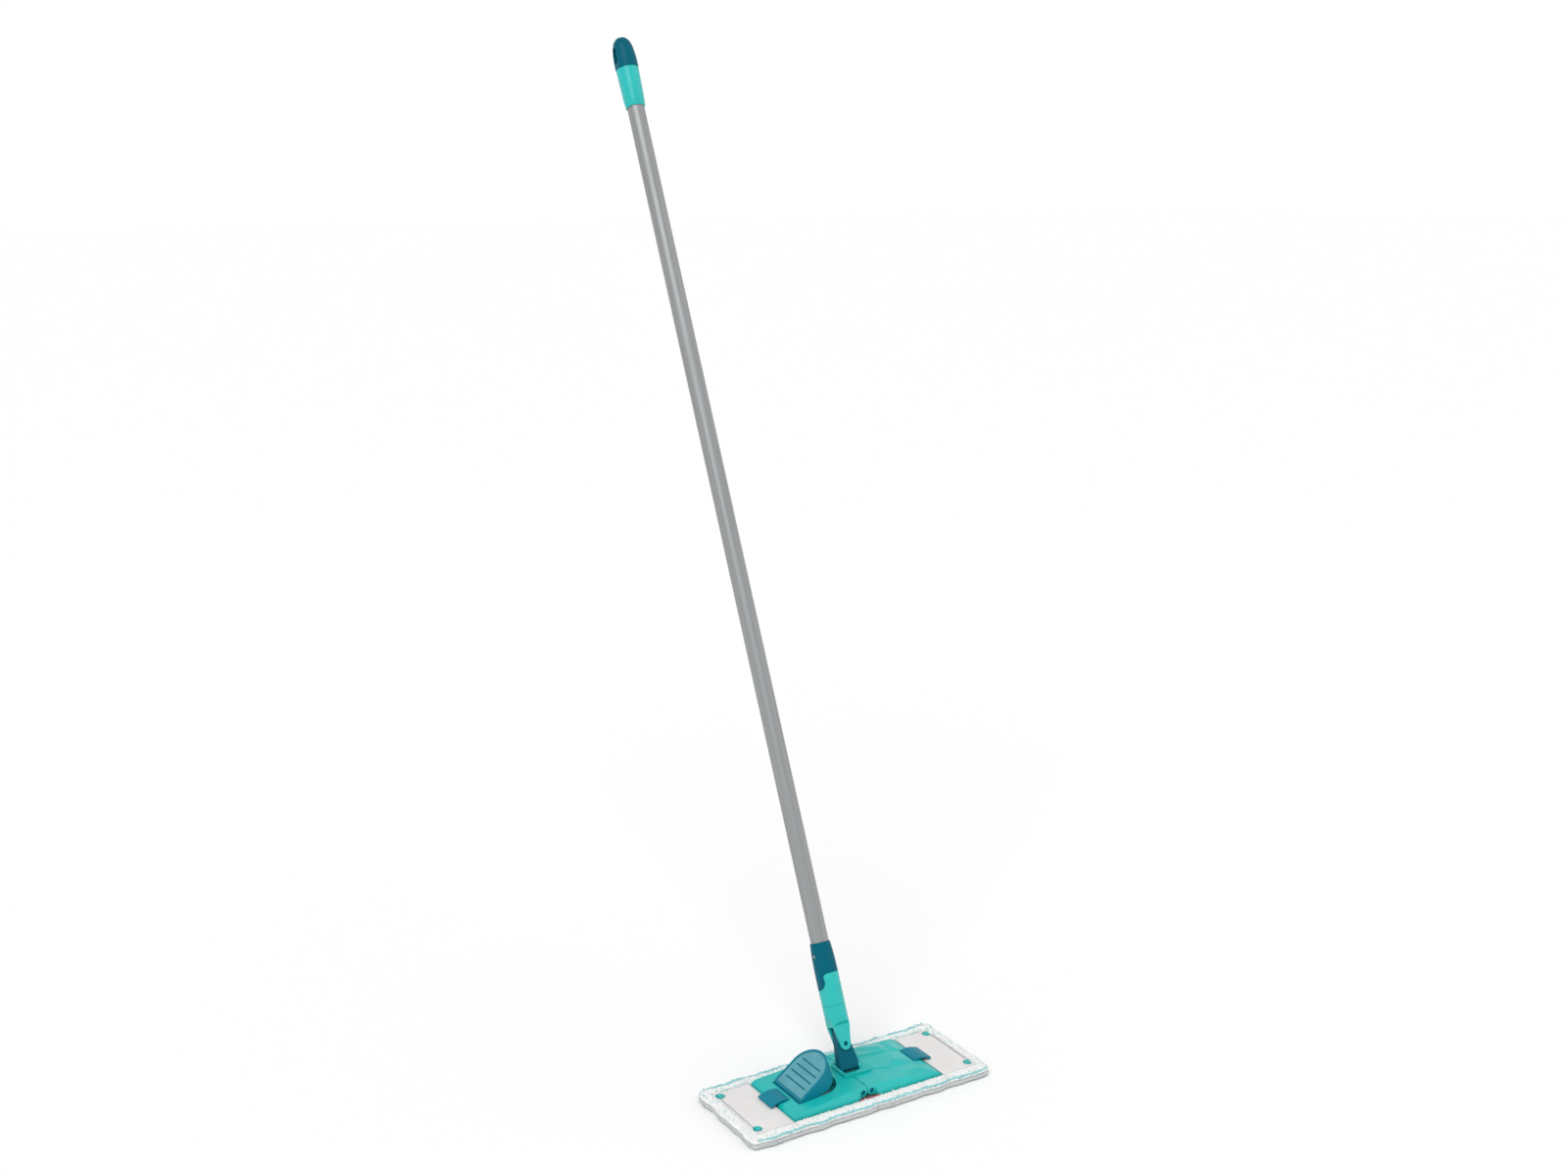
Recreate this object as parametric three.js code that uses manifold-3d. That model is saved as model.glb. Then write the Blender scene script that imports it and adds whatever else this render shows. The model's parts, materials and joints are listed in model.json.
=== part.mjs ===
// Flat mop: a pole on a two-way joint, a folding head with a foot pedal, and a pile cover.
// Millimetres. The origin is the middle of the cover's sole, +X runs along the head,
// +Y points to the back, towards which the pole leans, and +Z points up.
import * as THREE from 'three';
import { mergeVertices } from 'three/addons/utils/BufferGeometryUtils.js';
import Module from 'manifold-3d';

const wasm = await Module();
wasm.setup();

// ---------- driving dimensions ----------
const GAP = 0.3;
const RUNNING_GAP = 0.25;
const HAIR = 0.02;
const ROUND = 40;
const SMALL_ROUND = 24;

const HEAD_HALF_LENGTH = 187.5;
const HEAD_HALF_WIDTH = 75;
const SOLE_TOP = 9;
const BORDER_TOP = 15;
const BORDER_INNER_Y = 57.6;
const SOLE_SPLIT_X = 2.4;

const WING_BOTTOM = 9.5;
const TONGUE_TOP = 12.4;
const TONGUE_END = 178;
const WING_HALF_WIDTH = 55.7;
const COVER_END = 116;
const COVER_TOP = 25.5;
const COVER_END_TOP = 19.8;
const SPLIT_HALF_GAP = 0.5;

const FOLD_PIN_X = 6.7;
const FOLD_PIN_Z = 19.5;
const FOLD_PIN_RADIUS = 3.2;
const KNUCKLE_RADIUS = 6.2;
const KNUCKLE_START_Y = 30.4;
const KNUCKLE_END_Y = 51.5;
const NOTCH_YS = [23.6, 40];
const NOTCH_HALF_WIDTH = 1.1;
const NOTCH_END_X = 1.9;
const NOTCH_DEPTH = 2;

const POLE_X = 3;
const AXLE_Y = 1.2;
const AXLE_Z = 27.5;
const AXLE_RADIUS = 1.6;
const PIN_ABOVE_AXLE = 33.7;
const TILT_PIN_RADIUS = 3;
const LEAN = THREE.MathUtils.degToRad(24.5);

const TUBE_RADIUS = 12.5;
const TUBE_WALL = 1;
const TUBE_START = 101;
const TUBE_END = 1407;
const SLEEVE_TOP = 137.7;
const SLEEVE_SEAM = 96.5;
const RING_SEAM = 52.5;
const GRIP_START = 1350;
const CAP_START = 1409;
const CAP_TOP = 1458;

const PEDAL_PIN_X = -91;
const PEDAL_PIN_Z = 16.6;
const PEDAL_RAISE = THREE.MathUtils.degToRad(36.8);
const PEDAL_TRAVEL = THREE.MathUtils.degToRad(17);
const PEDAL_HEEL = 1.5;
const PEDAL_STRAIGHT = 40;
const PEDAL_TIP = 70.7;
const PEDAL_HALF_WIDTH = 33.3;
const PEDAL_TOP = 6.2;
const PEDAL_PIN_RADIUS = 2;
const WELL_END_X = -23.9;

// ---------- materials ----------
function plastic(color, roughness) {
  return new THREE.MeshStandardMaterial({ color, roughness, metalness: 0 });
}

function metal(color, roughness) {
  return new THREE.MeshStandardMaterial({ color, roughness, metalness: 1 });
}

const TURQUOISE = plastic(0x12b0ab, 0.35);
const PETROL = plastic(0x02596b, 0.35);
const CLIP_PETROL = plastic(0x027a93, 0.4);
const TREAD_GREY = plastic(0x5a9dac, 0.6);
const POLE_METAL = metal(0xa0a2a2, 0.38);
const STEEL = metal(0xb4b6b8, 0.3);
const PILE = plastic(0xe8e8e6, 1);
const POCKET_FABRIC = plastic(0xdedbda, 0.9);

// ---------- solids ----------
function signedVolume(geometry) {
  const points = geometry.attributes.position.array;
  const index = geometry.index.array;
  const a = new THREE.Vector3();
  const b = new THREE.Vector3();
  const c = new THREE.Vector3();
  let sum = 0;
  for (let i = 0; i < index.length; i += 3) {
    a.fromArray(points, index[i] * 3);
    b.fromArray(points, index[i + 1] * 3);
    c.fromArray(points, index[i + 2] * 3);
    sum += a.dot(b.cross(c));
  }
  return sum / 6;
}

// A closed three.js geometry as a manifold solid, with its faces turned outward.
function solid(geometry) {
  const plain = geometry.clone();
  plain.deleteAttribute('normal');
  plain.deleteAttribute('uv');
  const merged = mergeVertices(plain, 1e-4);
  const triangles = [];
  const index = merged.index.array;
  const inward = signedVolume(merged) < 0;
  for (let i = 0; i < index.length; i += 3) {
    const [p, q, r] = [index[i], index[i + 1], index[i + 2]];
    const collapsed = p === q || q === r || r === p;
    if (!collapsed) {
      triangles.push(...(inward ? [p, r, q] : [p, q, r]));
    }
  }
  return new wasm.Manifold(new wasm.Mesh({
    numProp: 3,
    vertProperties: new Float32Array(merged.attributes.position.array),
    triVerts: new Uint32Array(triangles),
  }));
}

function geometryOf(manifold) {
  const result = manifold.getMesh();
  const geometry = new THREE.BufferGeometry();
  const points = new THREE.BufferAttribute(new Float32Array(result.vertProperties), 3);
  geometry.setAttribute('position', points);
  geometry.setIndex(Array.from(result.triVerts));
  geometry.computeVertexNormals();
  return geometry;
}

function namedMesh(name, manifold, material) {
  const mesh = new THREE.Mesh(geometryOf(manifold), material);
  mesh.name = name;
  return mesh;
}

function block(x0, x1, y0, y1, z0, z1) {
  const box = new THREE.BoxGeometry(x1 - x0, y1 - y0, z1 - z0);
  box.translate((x0 + x1) / 2, (y0 + y1) / 2, (z0 + z1) / 2);
  return solid(box);
}

// A block that straddles both the XZ and the YZ plane.
function middleBlock(halfX, halfY, z0, z1) {
  return block(-halfX, halfX, -halfY, halfY, z0, z1);
}

function rodX(radius, x0, x1, y, z, sides = SMALL_ROUND) {
  const rod = new THREE.CylinderGeometry(radius, radius, x1 - x0, sides);
  rod.rotateZ(Math.PI / 2);
  rod.translate((x0 + x1) / 2, y, z);
  return solid(rod);
}

function rodY(radius, y0, y1, x, z, sides = SMALL_ROUND) {
  const rod = new THREE.CylinderGeometry(radius, radius, y1 - y0, sides);
  rod.translate(x, (y0 + y1) / 2, z);
  return solid(rod);
}

function rodZ(radius, z0, z1, sides = ROUND) {
  const rod = new THREE.CylinderGeometry(radius, radius, z1 - z0, sides);
  rod.rotateX(Math.PI / 2);
  rod.translate(0, 0, (z0 + z1) / 2);
  return solid(rod);
}

// A solid of revolution about Z, from [radius, height] points that close on themselves or the axis.
function turned(profile, sides = ROUND) {
  const points = profile.map(([radius, height]) => new THREE.Vector2(radius, height));
  const lathe = new THREE.LatheGeometry(points, sides);
  lathe.rotateX(Math.PI / 2);
  return solid(lathe);
}

function ring(outer, inner, z0, z1) {
  return turned([[inner, z0], [outer, z0], [outer, z1], [inner, z1], [inner, z0]]);
}

function shapeOf(points) {
  return new THREE.Shape(points.map(([a, b]) => new THREE.Vector2(a, b)));
}

// An outline in the XY plane, raised from z0 to z1.
function raisedPlate(shape, z0, z1, steps = 12) {
  const plate = new THREE.ExtrudeGeometry(shape, {
    depth: z1 - z0, bevelEnabled: false, curveSegments: steps,
  });
  plate.translate(0, 0, z0);
  return solid(plate);
}

// An outline in the XZ plane, run along Y.
function profileAlongY(shape, y0, y1, steps = 12) {
  const body = new THREE.ExtrudeGeometry(shape, {
    depth: y1 - y0, bevelEnabled: false, curveSegments: steps,
  });
  body.rotateX(Math.PI / 2);
  body.translate(0, y1, 0);
  return solid(body);
}

// An outline in the YZ plane, run along X.
function profileAlongX(shape, x0, x1, steps = 12) {
  const body = new THREE.ExtrudeGeometry(shape, {
    depth: x1 - x0, bevelEnabled: false, curveSegments: steps,
  });
  const toYZ = new THREE.Matrix4().makeBasis(
    new THREE.Vector3(0, 1, 0), new THREE.Vector3(0, 0, 1), new THREE.Vector3(1, 0, 0),
  );
  body.applyMatrix4(toYZ);
  body.translate(x0, 0, 0);
  return solid(body);
}

function mirroredX(manifold) {
  const geometry = geometryOf(manifold);
  geometry.scale(-1, 1, 1);
  return solid(geometry);
}

// A wire wound round an axis along Z, from z0 to z1.
function coil(radius, wire, turns, z0, z1, stepsPerTurn, sides) {
  const points = [];
  const steps = turns * stepsPerTurn;
  for (let i = 0; i <= steps; i += 1) {
    const angle = (i / stepsPerTurn) * 2 * Math.PI;
    const height = z0 + ((z1 - z0) * i) / steps;
    points.push(new THREE.Vector3(radius * Math.cos(angle), radius * Math.sin(angle), height));
  }
  const path = new THREE.CatmullRomCurve3(points);
  const section = new THREE.Shape();
  section.absarc(0, 0, wire, 0, 2 * Math.PI);
  return new THREE.ExtrudeGeometry(section, {
    steps, curveSegments: sides, bevelEnabled: false, extrudePath: path,
  });
}

// ---------- pole (heights are distances from the tilt pin) ----------
const SKIN = [
  [15.2, 20], [15.6, 39], [15.8, 60], [16, 82], [15.9, 98],
  [15.5, 114], [14.9, 126], [14.2, 134], [13.6, SLEEVE_TOP],
];
const TONGUE_TIP = 75;
const TONGUE_HALF_WIDTH = 10.4;
const TONGUE_NECK_HALF_WIDTH = 9.8;
const SHOULDER_RADIUS = 5.5;
const NECK_RADIUS = 12.9;
const SPIGOT_RADIUS = 10.8;
const SPIGOT_TOP = 131;
const BUTTON_HEIGHT = 120;
const BUTTON_RADIUS = 3.2;
const BUTTON_FLANGE_RADIUS = 4.4;

function skinBody() {
  const bottom = SKIN[0][1];
  return turned([[0, bottom], ...SKIN, [0, SLEEVE_TOP]], ROUND + 8);
}

function makeTube() {
  const wall = ring(TUBE_RADIUS, TUBE_RADIUS - TUBE_WALL, TUBE_START, TUBE_END);
  const buttonHole = rodX(BUTTON_RADIUS + 0.4, -20, 0, 0, BUTTON_HEIGHT);
  return namedMesh('pole_tube', wall.subtract(buttonHole), POLE_METAL);
}

function makeGripSleeve() {
  const bore = TUBE_RADIUS + GAP;
  const body = turned([
    [bore, GRIP_START], [13.6, GRIP_START], [14.3, GRIP_START + 1.5], [15.2, GRIP_START + 10],
    [15.7, GRIP_START + 24], [16.1, GRIP_START + 42], [16.6, CAP_START - GAP],
    [bore, CAP_START - GAP], [bore, GRIP_START],
  ]);
  return namedMesh('grip_sleeve', body, TURQUOISE);
}

const EYE_BOTTOM = 1418;
const EYE_TOP = 1442;
const EYE_RADIUS = 4.5;
const CAP_PLUG_LENGTH = 16;

// The slot through the cap that hangs on a hook.
function hangingEye() {
  const low = EYE_BOTTOM + EYE_RADIUS;
  const high = EYE_TOP - EYE_RADIUS;
  const middle = block(-20, 20, -EYE_RADIUS, EYE_RADIUS, low, high);
  return middle.add(rodX(EYE_RADIUS, -20, 20, 0, low)).add(rodX(EYE_RADIUS, -20, 20, 0, high));
}

function makeGripCap() {
  const dome = turned([
    [0, CAP_START], [16.7, CAP_START], [17, CAP_START + 6], [16.9, CAP_START + 14],
    [16.2, CAP_START + 24], [14.8, CAP_START + 34], [12.2, CAP_START + 42],
    [8, CAP_START + 47], [3, CAP_TOP - 0.3], [0, CAP_TOP],
  ]);
  const flats = middleBlock(15.4, 20, CAP_START - 1, CAP_TOP + 1);
  const plug = rodZ(TUBE_RADIUS - TUBE_WALL - GAP, CAP_START - CAP_PLUG_LENGTH, CAP_START + 1);
  const cap = dome.intersect(flats).add(plug).subtract(hangingEye());
  return namedMesh('grip_end_cap', cap, PETROL);
}

// The tongue's outline on the joint's -X side, grown by `extra` all round: a round tip, a slight
// neck, and above it a hollow on each side for the rounded corners of the collar.
function tonguePrism(extra) {
  const half = TONGUE_HALF_WIDTH + extra;
  const seam = SLEEVE_SEAM - extra;
  const hollow = SHOULDER_RADIUS - extra;
  const hollowY = TONGUE_NECK_HALF_WIDTH + SHOULDER_RADIUS;
  const hollowZ = SLEEVE_SEAM - SHOULDER_RADIUS;
  const beyondSkin = 25;
  const shape = new THREE.Shape();
  shape.moveTo(-beyondSkin, SLEEVE_SEAM + 6);
  shape.lineTo(-beyondSkin, seam);
  shape.lineTo(-hollowY, seam);
  shape.absarc(-hollowY, hollowZ, hollow, Math.PI / 2, 0, true);
  shape.lineTo(-half, TONGUE_TIP + TONGUE_HALF_WIDTH);
  shape.absarc(0, TONGUE_TIP + TONGUE_HALF_WIDTH, half, Math.PI, 2 * Math.PI);
  shape.lineTo(hollowY - hollow, hollowZ);
  shape.absarc(hollowY, hollowZ, hollow, Math.PI, Math.PI / 2, true);
  shape.lineTo(beyondSkin, seam);
  shape.lineTo(beyondSkin, SLEEVE_SEAM + 6);
  shape.closePath();
  return profileAlongX(shape, -beyondSkin, 0);
}

function makeClickSleeve() {
  const upper = rodZ(TUBE_RADIUS + GAP, TUBE_START - GAP, SLEEVE_TOP + 5);
  const lower = rodZ(NECK_RADIUS + GAP, TONGUE_TIP - 5, TUBE_START - GAP + 0.01);
  const shell = skinBody().subtract(upper).subtract(lower);
  const belowSeam = middleBlock(25, 25, 0, SLEEVE_SEAM).subtract(tonguePrism(0));
  const buttonHole = rodX(BUTTON_RADIUS + 0.4, -20, 0, 0, BUTTON_HEIGHT);
  return namedMesh('click_sleeve', shell.subtract(belowSeam).subtract(buttonHole), PETROL);
}

function makeSocketCollar() {
  const bore = SPIGOT_RADIUS + GAP;
  const neck = ring(NECK_RADIUS, bore, RING_SEAM + GAP, TUBE_START - 2 * GAP);
  const shellSpan = middleBlock(25, 25, RING_SEAM + GAP, SLEEVE_SEAM - 0.5);
  const notch = tonguePrism(0.5).subtract(rodZ(NECK_RADIUS, 0, SLEEVE_TOP));
  const shell = skinBody().intersect(shellSpan).subtract(notch).subtract(rodZ(bore, 0, SLEEVE_TOP));
  return namedMesh('socket_collar', shell.add(neck), TURQUOISE);
}

const EAR_FACE_Y = 10;
const SLOT_HALF_WIDTH = 6.1;
const SLOT_TOP = 24;
const BOSS_RADIUS = 8;

function earOutline() {
  const shape = new THREE.Shape();
  shape.moveTo(BOSS_RADIUS, 0);
  shape.lineTo(9.6, 10);
  shape.lineTo(12.6, 25);
  shape.lineTo(15.4, 38);
  shape.lineTo(17, RING_SEAM);
  shape.lineTo(-17, RING_SEAM);
  shape.lineTo(-15.4, 38);
  shape.lineTo(-12.6, 25);
  shape.lineTo(-9.6, 10);
  shape.lineTo(-BOSS_RADIUS, 0);
  shape.absarc(0, 0, BOSS_RADIUS, Math.PI, 2 * Math.PI);
  return shape;
}

// The fork's thickness seen from the side: flat ears that swell into the round socket.
function earThickness() {
  return shapeOf([
    [-EAR_FACE_Y, -10], [EAR_FACE_Y, -10], [EAR_FACE_Y, 26], [EAR_FACE_Y + 4, 30],
    [16.5, 42], [16.5, RING_SEAM], [-16.5, RING_SEAM], [-16.5, 42],
    [-EAR_FACE_Y - 4, 30], [-EAR_FACE_Y, 26],
  ]);
}

function makeFork() {
  const root = turned([
    [0, -BOSS_RADIUS - 1], [15.9, -BOSS_RADIUS - 1], [15.9, 20], [15.6, 39],
    [15.8, RING_SEAM], [0, RING_SEAM],
  ], ROUND + 8);
  const front = profileAlongY(earOutline(), -20, 20);
  const side = profileAlongX(earThickness(), -20, 20);
  const slot = block(-20, 20, -SLOT_HALF_WIDTH, SLOT_HALF_WIDTH, -20, SLOT_TOP);
  const pinHole = rodY(TILT_PIN_RADIUS + RUNNING_GAP, -20, 20, 0, 0);
  const spigot = turned([
    [0, RING_SEAM - 1], [SPIGOT_RADIUS, RING_SEAM - 1], [SPIGOT_RADIUS, SPIGOT_TOP - 1.5],
    [SPIGOT_RADIUS - 1.5, SPIGOT_TOP], [0, SPIGOT_TOP],
  ]);
  const buttonBore = rodX(BUTTON_FLANGE_RADIUS + GAP, -20, -2, 0, BUTTON_HEIGHT);
  const fork = root.intersect(front).intersect(side).subtract(slot).subtract(pinHole)
    .add(spigot).subtract(buttonBore);
  return namedMesh('joint_fork', fork, TURQUOISE);
}

const BUTTON_FLANGE_X = -9.8;
const BUTTON_FLANGE_THICKNESS = 1.4;
const BUTTON_REACH = 14.4;

// The button lies a little below the sleeve's skin and has a domed end.
function makeReleaseButton() {
  const stem = turned([
    [0, -BUTTON_FLANGE_X - 0.5], [BUTTON_RADIUS, -BUTTON_FLANGE_X - 0.5],
    [BUTTON_RADIUS, BUTTON_REACH - 1.4], [BUTTON_RADIUS * 0.85, BUTTON_REACH - 0.6],
    [BUTTON_RADIUS * 0.5, BUTTON_REACH], [0, BUTTON_REACH],
  ], SMALL_ROUND).rotate([0, -90, 0]).translate([0, 0, BUTTON_HEIGHT]);
  const flangeBack = BUTTON_FLANGE_X + BUTTON_FLANGE_THICKNESS;
  const flange = rodX(BUTTON_FLANGE_RADIUS, BUTTON_FLANGE_X, flangeBack, 0, BUTTON_HEIGHT);
  return namedMesh('release_button', stem.add(flange), STEEL);
}

function makeButtonSpring() {
  const flangeBack = BUTTON_FLANGE_X + BUTTON_FLANGE_THICKNESS;
  const wire = 0.35;
  const spring = coil(2.8, wire, 4, 0, 5, 10, 3);
  spring.rotateY(Math.PI / 2);
  spring.translate(flangeBack + GAP + wire + 0.2, 0, BUTTON_HEIGHT);
  return namedMesh('button_spring', solid(spring), STEEL);
}

function makeTiltPin() {
  return namedMesh('tilt_pin', rodY(TILT_PIN_RADIUS, -8, 8, 0, 0), PETROL);
}

// ---------- yoke (heights are distances from its axle) ----------
const YOKE_LEFT = -13.2;
const YOKE_RIGHT = 15.5;
const YOKE_HALF_THICKNESS = 5.75;
const YOKE_BARREL_RADIUS = 3.2;
const TAB_SHOULDER = 10.3;
const TAB_TIP = 8.3;
const TAB_HEIGHT = 20.4;
const AXLE_LEFT_END = YOKE_LEFT - 2.4;
const AXLE_RIGHT_END = YOKE_RIGHT + 3.6;

function makeYoke() {
  const plate = profileAlongY(shapeOf([
    [YOKE_RIGHT - 1, 0], [YOKE_RIGHT, 9], [TAB_SHOULDER, PIN_ABOVE_AXLE],
    [TAB_TIP + 1, PIN_ABOVE_AXLE + 14], [TAB_TIP, PIN_ABOVE_AXLE + TAB_HEIGHT],
    [-TAB_TIP, PIN_ABOVE_AXLE + TAB_HEIGHT], [-TAB_TIP - 1, PIN_ABOVE_AXLE + 14],
    [-TAB_SHOULDER, PIN_ABOVE_AXLE], [YOKE_LEFT, 14], [YOKE_LEFT, 0],
  ]), -YOKE_HALF_THICKNESS, YOKE_HALF_THICKNESS);
  const barrel = rodX(YOKE_BARREL_RADIUS, YOKE_LEFT, YOKE_RIGHT - 1, 0, 0);
  const axleHole = rodX(AXLE_RADIUS + RUNNING_GAP, -20, 20, 0, 0);
  const pinHole = rodY(TILT_PIN_RADIUS + RUNNING_GAP, -10, 10, 0, PIN_ABOVE_AXLE);
  const yoke = plate.add(barrel).subtract(axleHole).subtract(pinHole);
  return namedMesh('yoke', yoke, PETROL);
}

function makeYokeAxle() {
  return namedMesh('yoke_axle', rodX(AXLE_RADIUS, AXLE_LEFT_END, AXLE_RIGHT_END, 0, 0), STEEL);
}

// ---------- centre bridge ----------
const BRIDGE_LEFT = -FOLD_PIN_X - KNUCKLE_RADIUS;
const BRIDGE_BOTTOM = FOLD_PIN_Z - KNUCKLE_RADIUS;
const BRIDGE_RIGHT = 31;
const COLLAR_FRONT = -17.3;
const COLLAR_BACK = 20.2;
const COLLAR_GAP = 0.5;
const OPENING_LEFT = POLE_X + YOKE_LEFT - GAP;
const OPENING_RIGHT = POLE_X + YOKE_RIGHT + GAP;
const OPENING_FRONT = -14;
const OPENING_BACK = 17.8;
const OPENING_FLOOR = 22;
const SHELF_TOP = 27;
const RIM_LEFT_TOP = 31;
const RIM_RIGHT_TOP = 28.3;
const LUG_RADIUS = 4.5;
const LUG_END_Y = 30;
const COLLAR_CORNER = 4;
const FRONT_SHELF_EDGE = AXLE_Y - 9.3;
const BACK_SHELF_EDGE = AXLE_Y + 10.4;
const SLIT_X = 6;
const SLIT_HALF_WIDTH = 1;
const AXLE_BOSS_RADIUS = 3.6;
const KEEPER_HALF_WIDTH = 4.6;
const KEEPER_DEPTH = 3;

function bridgeOutline() {
  const shape = new THREE.Shape();
  shape.moveTo(BRIDGE_LEFT, RIM_LEFT_TOP - 1);
  shape.lineTo(BRIDGE_LEFT, FOLD_PIN_Z);
  shape.absarc(-FOLD_PIN_X, FOLD_PIN_Z, KNUCKLE_RADIUS, Math.PI, 1.5 * Math.PI);
  shape.lineTo(BRIDGE_RIGHT - 1, BRIDGE_BOTTOM);
  shape.lineTo(BRIDGE_RIGHT, 19);
  shape.lineTo(BRIDGE_RIGHT, RIM_RIGHT_TOP - 1);
  shape.lineTo(BRIDGE_RIGHT - 1, RIM_RIGHT_TOP);
  shape.lineTo(BRIDGE_LEFT + 1, RIM_LEFT_TOP);
  shape.closePath();
  return shape;
}

// The space that the yoke swings in: its right-hand side is a broad slope up to the rim.
function collarOpening() {
  const section = shapeOf([
    [OPENING_LEFT, OPENING_FLOOR], [OPENING_RIGHT, OPENING_FLOOR], [OPENING_RIGHT, SHELF_TOP - 1],
    [BRIDGE_RIGHT - 2.6, RIM_RIGHT_TOP], [BRIDGE_RIGHT - 2.6, 40], [OPENING_LEFT, 40],
  ]);
  const opening = profileAlongY(section, OPENING_FRONT, OPENING_BACK);
  const frontShelf = block(-20, OPENING_RIGHT, -20, FRONT_SHELF_EDGE, 0, SHELF_TOP);
  const backShelf = block(-20, OPENING_RIGHT, BACK_SHELF_EDGE, 25, 0, SHELF_TOP);
  const slitLeft = SLIT_X - SLIT_HALF_WIDTH;
  const slitRight = SLIT_X + SLIT_HALF_WIDTH;
  const slit = block(slitLeft, slitRight, OPENING_FRONT + 1.5, 0, OPENING_FLOOR, SHELF_TOP + 1);
  return opening.subtract(frontShelf).subtract(backShelf).add(slit);
}

// A lug holds both fold pins: two round eyes with a web between them.
function bridgeLugs() {
  let lugs = middleBlock(FOLD_PIN_X, LUG_END_Y, FOLD_PIN_Z - LUG_RADIUS, FOLD_PIN_Z + LUG_RADIUS);
  for (const side of [-1, 1]) {
    lugs = lugs.add(rodY(LUG_RADIUS, -LUG_END_Y, LUG_END_Y, side * FOLD_PIN_X, FOLD_PIN_Z));
  }
  return lugs;
}

// The boss beside the yoke that holds the right-hand end of its axle.
function axleBoss() {
  const radius = AXLE_BOSS_RADIUS;
  const right = OPENING_RIGHT + radius;
  const upright = block(OPENING_RIGHT, right, AXLE_Y - radius, AXLE_Y + radius, 20, AXLE_Z);
  return upright.add(rodX(radius, OPENING_RIGHT, right, AXLE_Y, AXLE_Z));
}

// What rounds off the collar's four upright corners, where they stand above the wings.
function collarCorners() {
  const left = BRIDGE_LEFT - HAIR;
  const right = BRIDGE_RIGHT + HAIR;
  const front = COLLAR_FRONT - HAIR;
  const back = COLLAR_BACK + HAIR;
  const radius = COLLAR_CORNER;
  const shape = new THREE.Shape();
  shape.absarc(right - radius, back - radius, radius, 0, Math.PI / 2);
  shape.absarc(left + radius, back - radius, radius, Math.PI / 2, Math.PI);
  shape.absarc(left + radius, front + radius, radius, Math.PI, 1.5 * Math.PI);
  shape.absarc(right - radius, front + radius, radius, 1.5 * Math.PI, 2 * Math.PI);
  shape.closePath();
  const square = block(left - 1, right + 1, front - 1, back + 1, COVER_TOP, 40);
  return square.subtract(raisedPlate(shape, COVER_TOP - 1, 41, 6));
}

function makeBridge() {
  const collar = profileAlongY(bridgeOutline(), COLLAR_FRONT, COLLAR_BACK).subtract(collarCorners());
  const boreEnd = OPENING_RIGHT + AXLE_BOSS_RADIUS + 1;
  const axleBore = rodX(AXLE_RADIUS + RUNNING_GAP, BRIDGE_LEFT - 1, boreEnd, AXLE_Y, AXLE_Z);
  const keeperEnd = BRIDGE_LEFT + KEEPER_DEPTH;
  const keeper = block(BRIDGE_LEFT - 5, keeperEnd, -KEEPER_HALF_WIDTH, KEEPER_HALF_WIDTH, 12, 15.2);
  const body = collar.add(bridgeLugs()).subtract(collarOpening()).add(axleBoss());
  let bridge = body.subtract(axleBore).subtract(keeper);
  for (const side of [-1, 1]) {
    for (const end of [-1, 1]) {
      const y0 = Math.min(end * 20.2, end * 40);
      const bore = rodY(FOLD_PIN_RADIUS + RUNNING_GAP, y0, y0 + 19.8, side * FOLD_PIN_X, FOLD_PIN_Z);
      bridge = bridge.subtract(bore);
    }
  }
  return namedMesh('centre_bridge', bridge, TURQUOISE);
}

function makeFoldPins() {
  const pins = [];
  for (const [sideName, side] of [['left', -1], ['right', 1]]) {
    for (const [endName, end] of [['front', -1], ['back', 1]]) {
      const y0 = Math.min(end * 20.5, end * (KNUCKLE_END_Y - 0.3));
      const length = KNUCKLE_END_Y - 20.8;
      const pin = rodY(FOLD_PIN_RADIUS, y0, y0 + length, side * FOLD_PIN_X, FOLD_PIN_Z);
      pins.push(namedMesh(`fold_pin_${sideName}_${endName}`, pin, PETROL));
    }
  }
  return pins;
}

// ---------- wings (built on the +X side) ----------
function wingSide() {
  const shape = new THREE.Shape();
  shape.moveTo(SPLIT_HALF_GAP, COVER_TOP);
  shape.lineTo(SPLIT_HALF_GAP, FOLD_PIN_Z);
  shape.absarc(FOLD_PIN_X, FOLD_PIN_Z, KNUCKLE_RADIUS, Math.PI, 1.5 * Math.PI);
  shape.lineTo(29, WING_BOTTOM);
  shape.lineTo(TONGUE_END - 0.8, WING_BOTTOM);
  shape.lineTo(TONGUE_END, WING_BOTTOM + 0.8);
  shape.lineTo(TONGUE_END, TONGUE_TOP - 0.6);
  shape.lineTo(TONGUE_END - 0.8, TONGUE_TOP);
  shape.lineTo(COVER_END, TONGUE_TOP);
  shape.lineTo(COVER_END - 0.4, 14);
  shape.quadraticCurveTo(COVER_END - 3, COVER_END_TOP - 0.5, COVER_END - 12, COVER_END_TOP);
  shape.lineTo(30, COVER_TOP);
  shape.closePath();
  return profileAlongY(shape, -70, 70, 8);
}

function wingSection() {
  const half = WING_HALF_WIDTH;
  return profileAlongX(shapeOf([
    [-half, WING_BOTTOM - 1], [half, WING_BOTTOM - 1], [half, TONGUE_TOP + 0.4],
    [half - 1.2, 17.5], [half - 5.5, COVER_TOP + 1], [5.5 - half, COVER_TOP + 1],
    [1.2 - half, 17.5], [-half, TONGUE_TOP + 0.4],
  ]), 0, 200);
}

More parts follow.
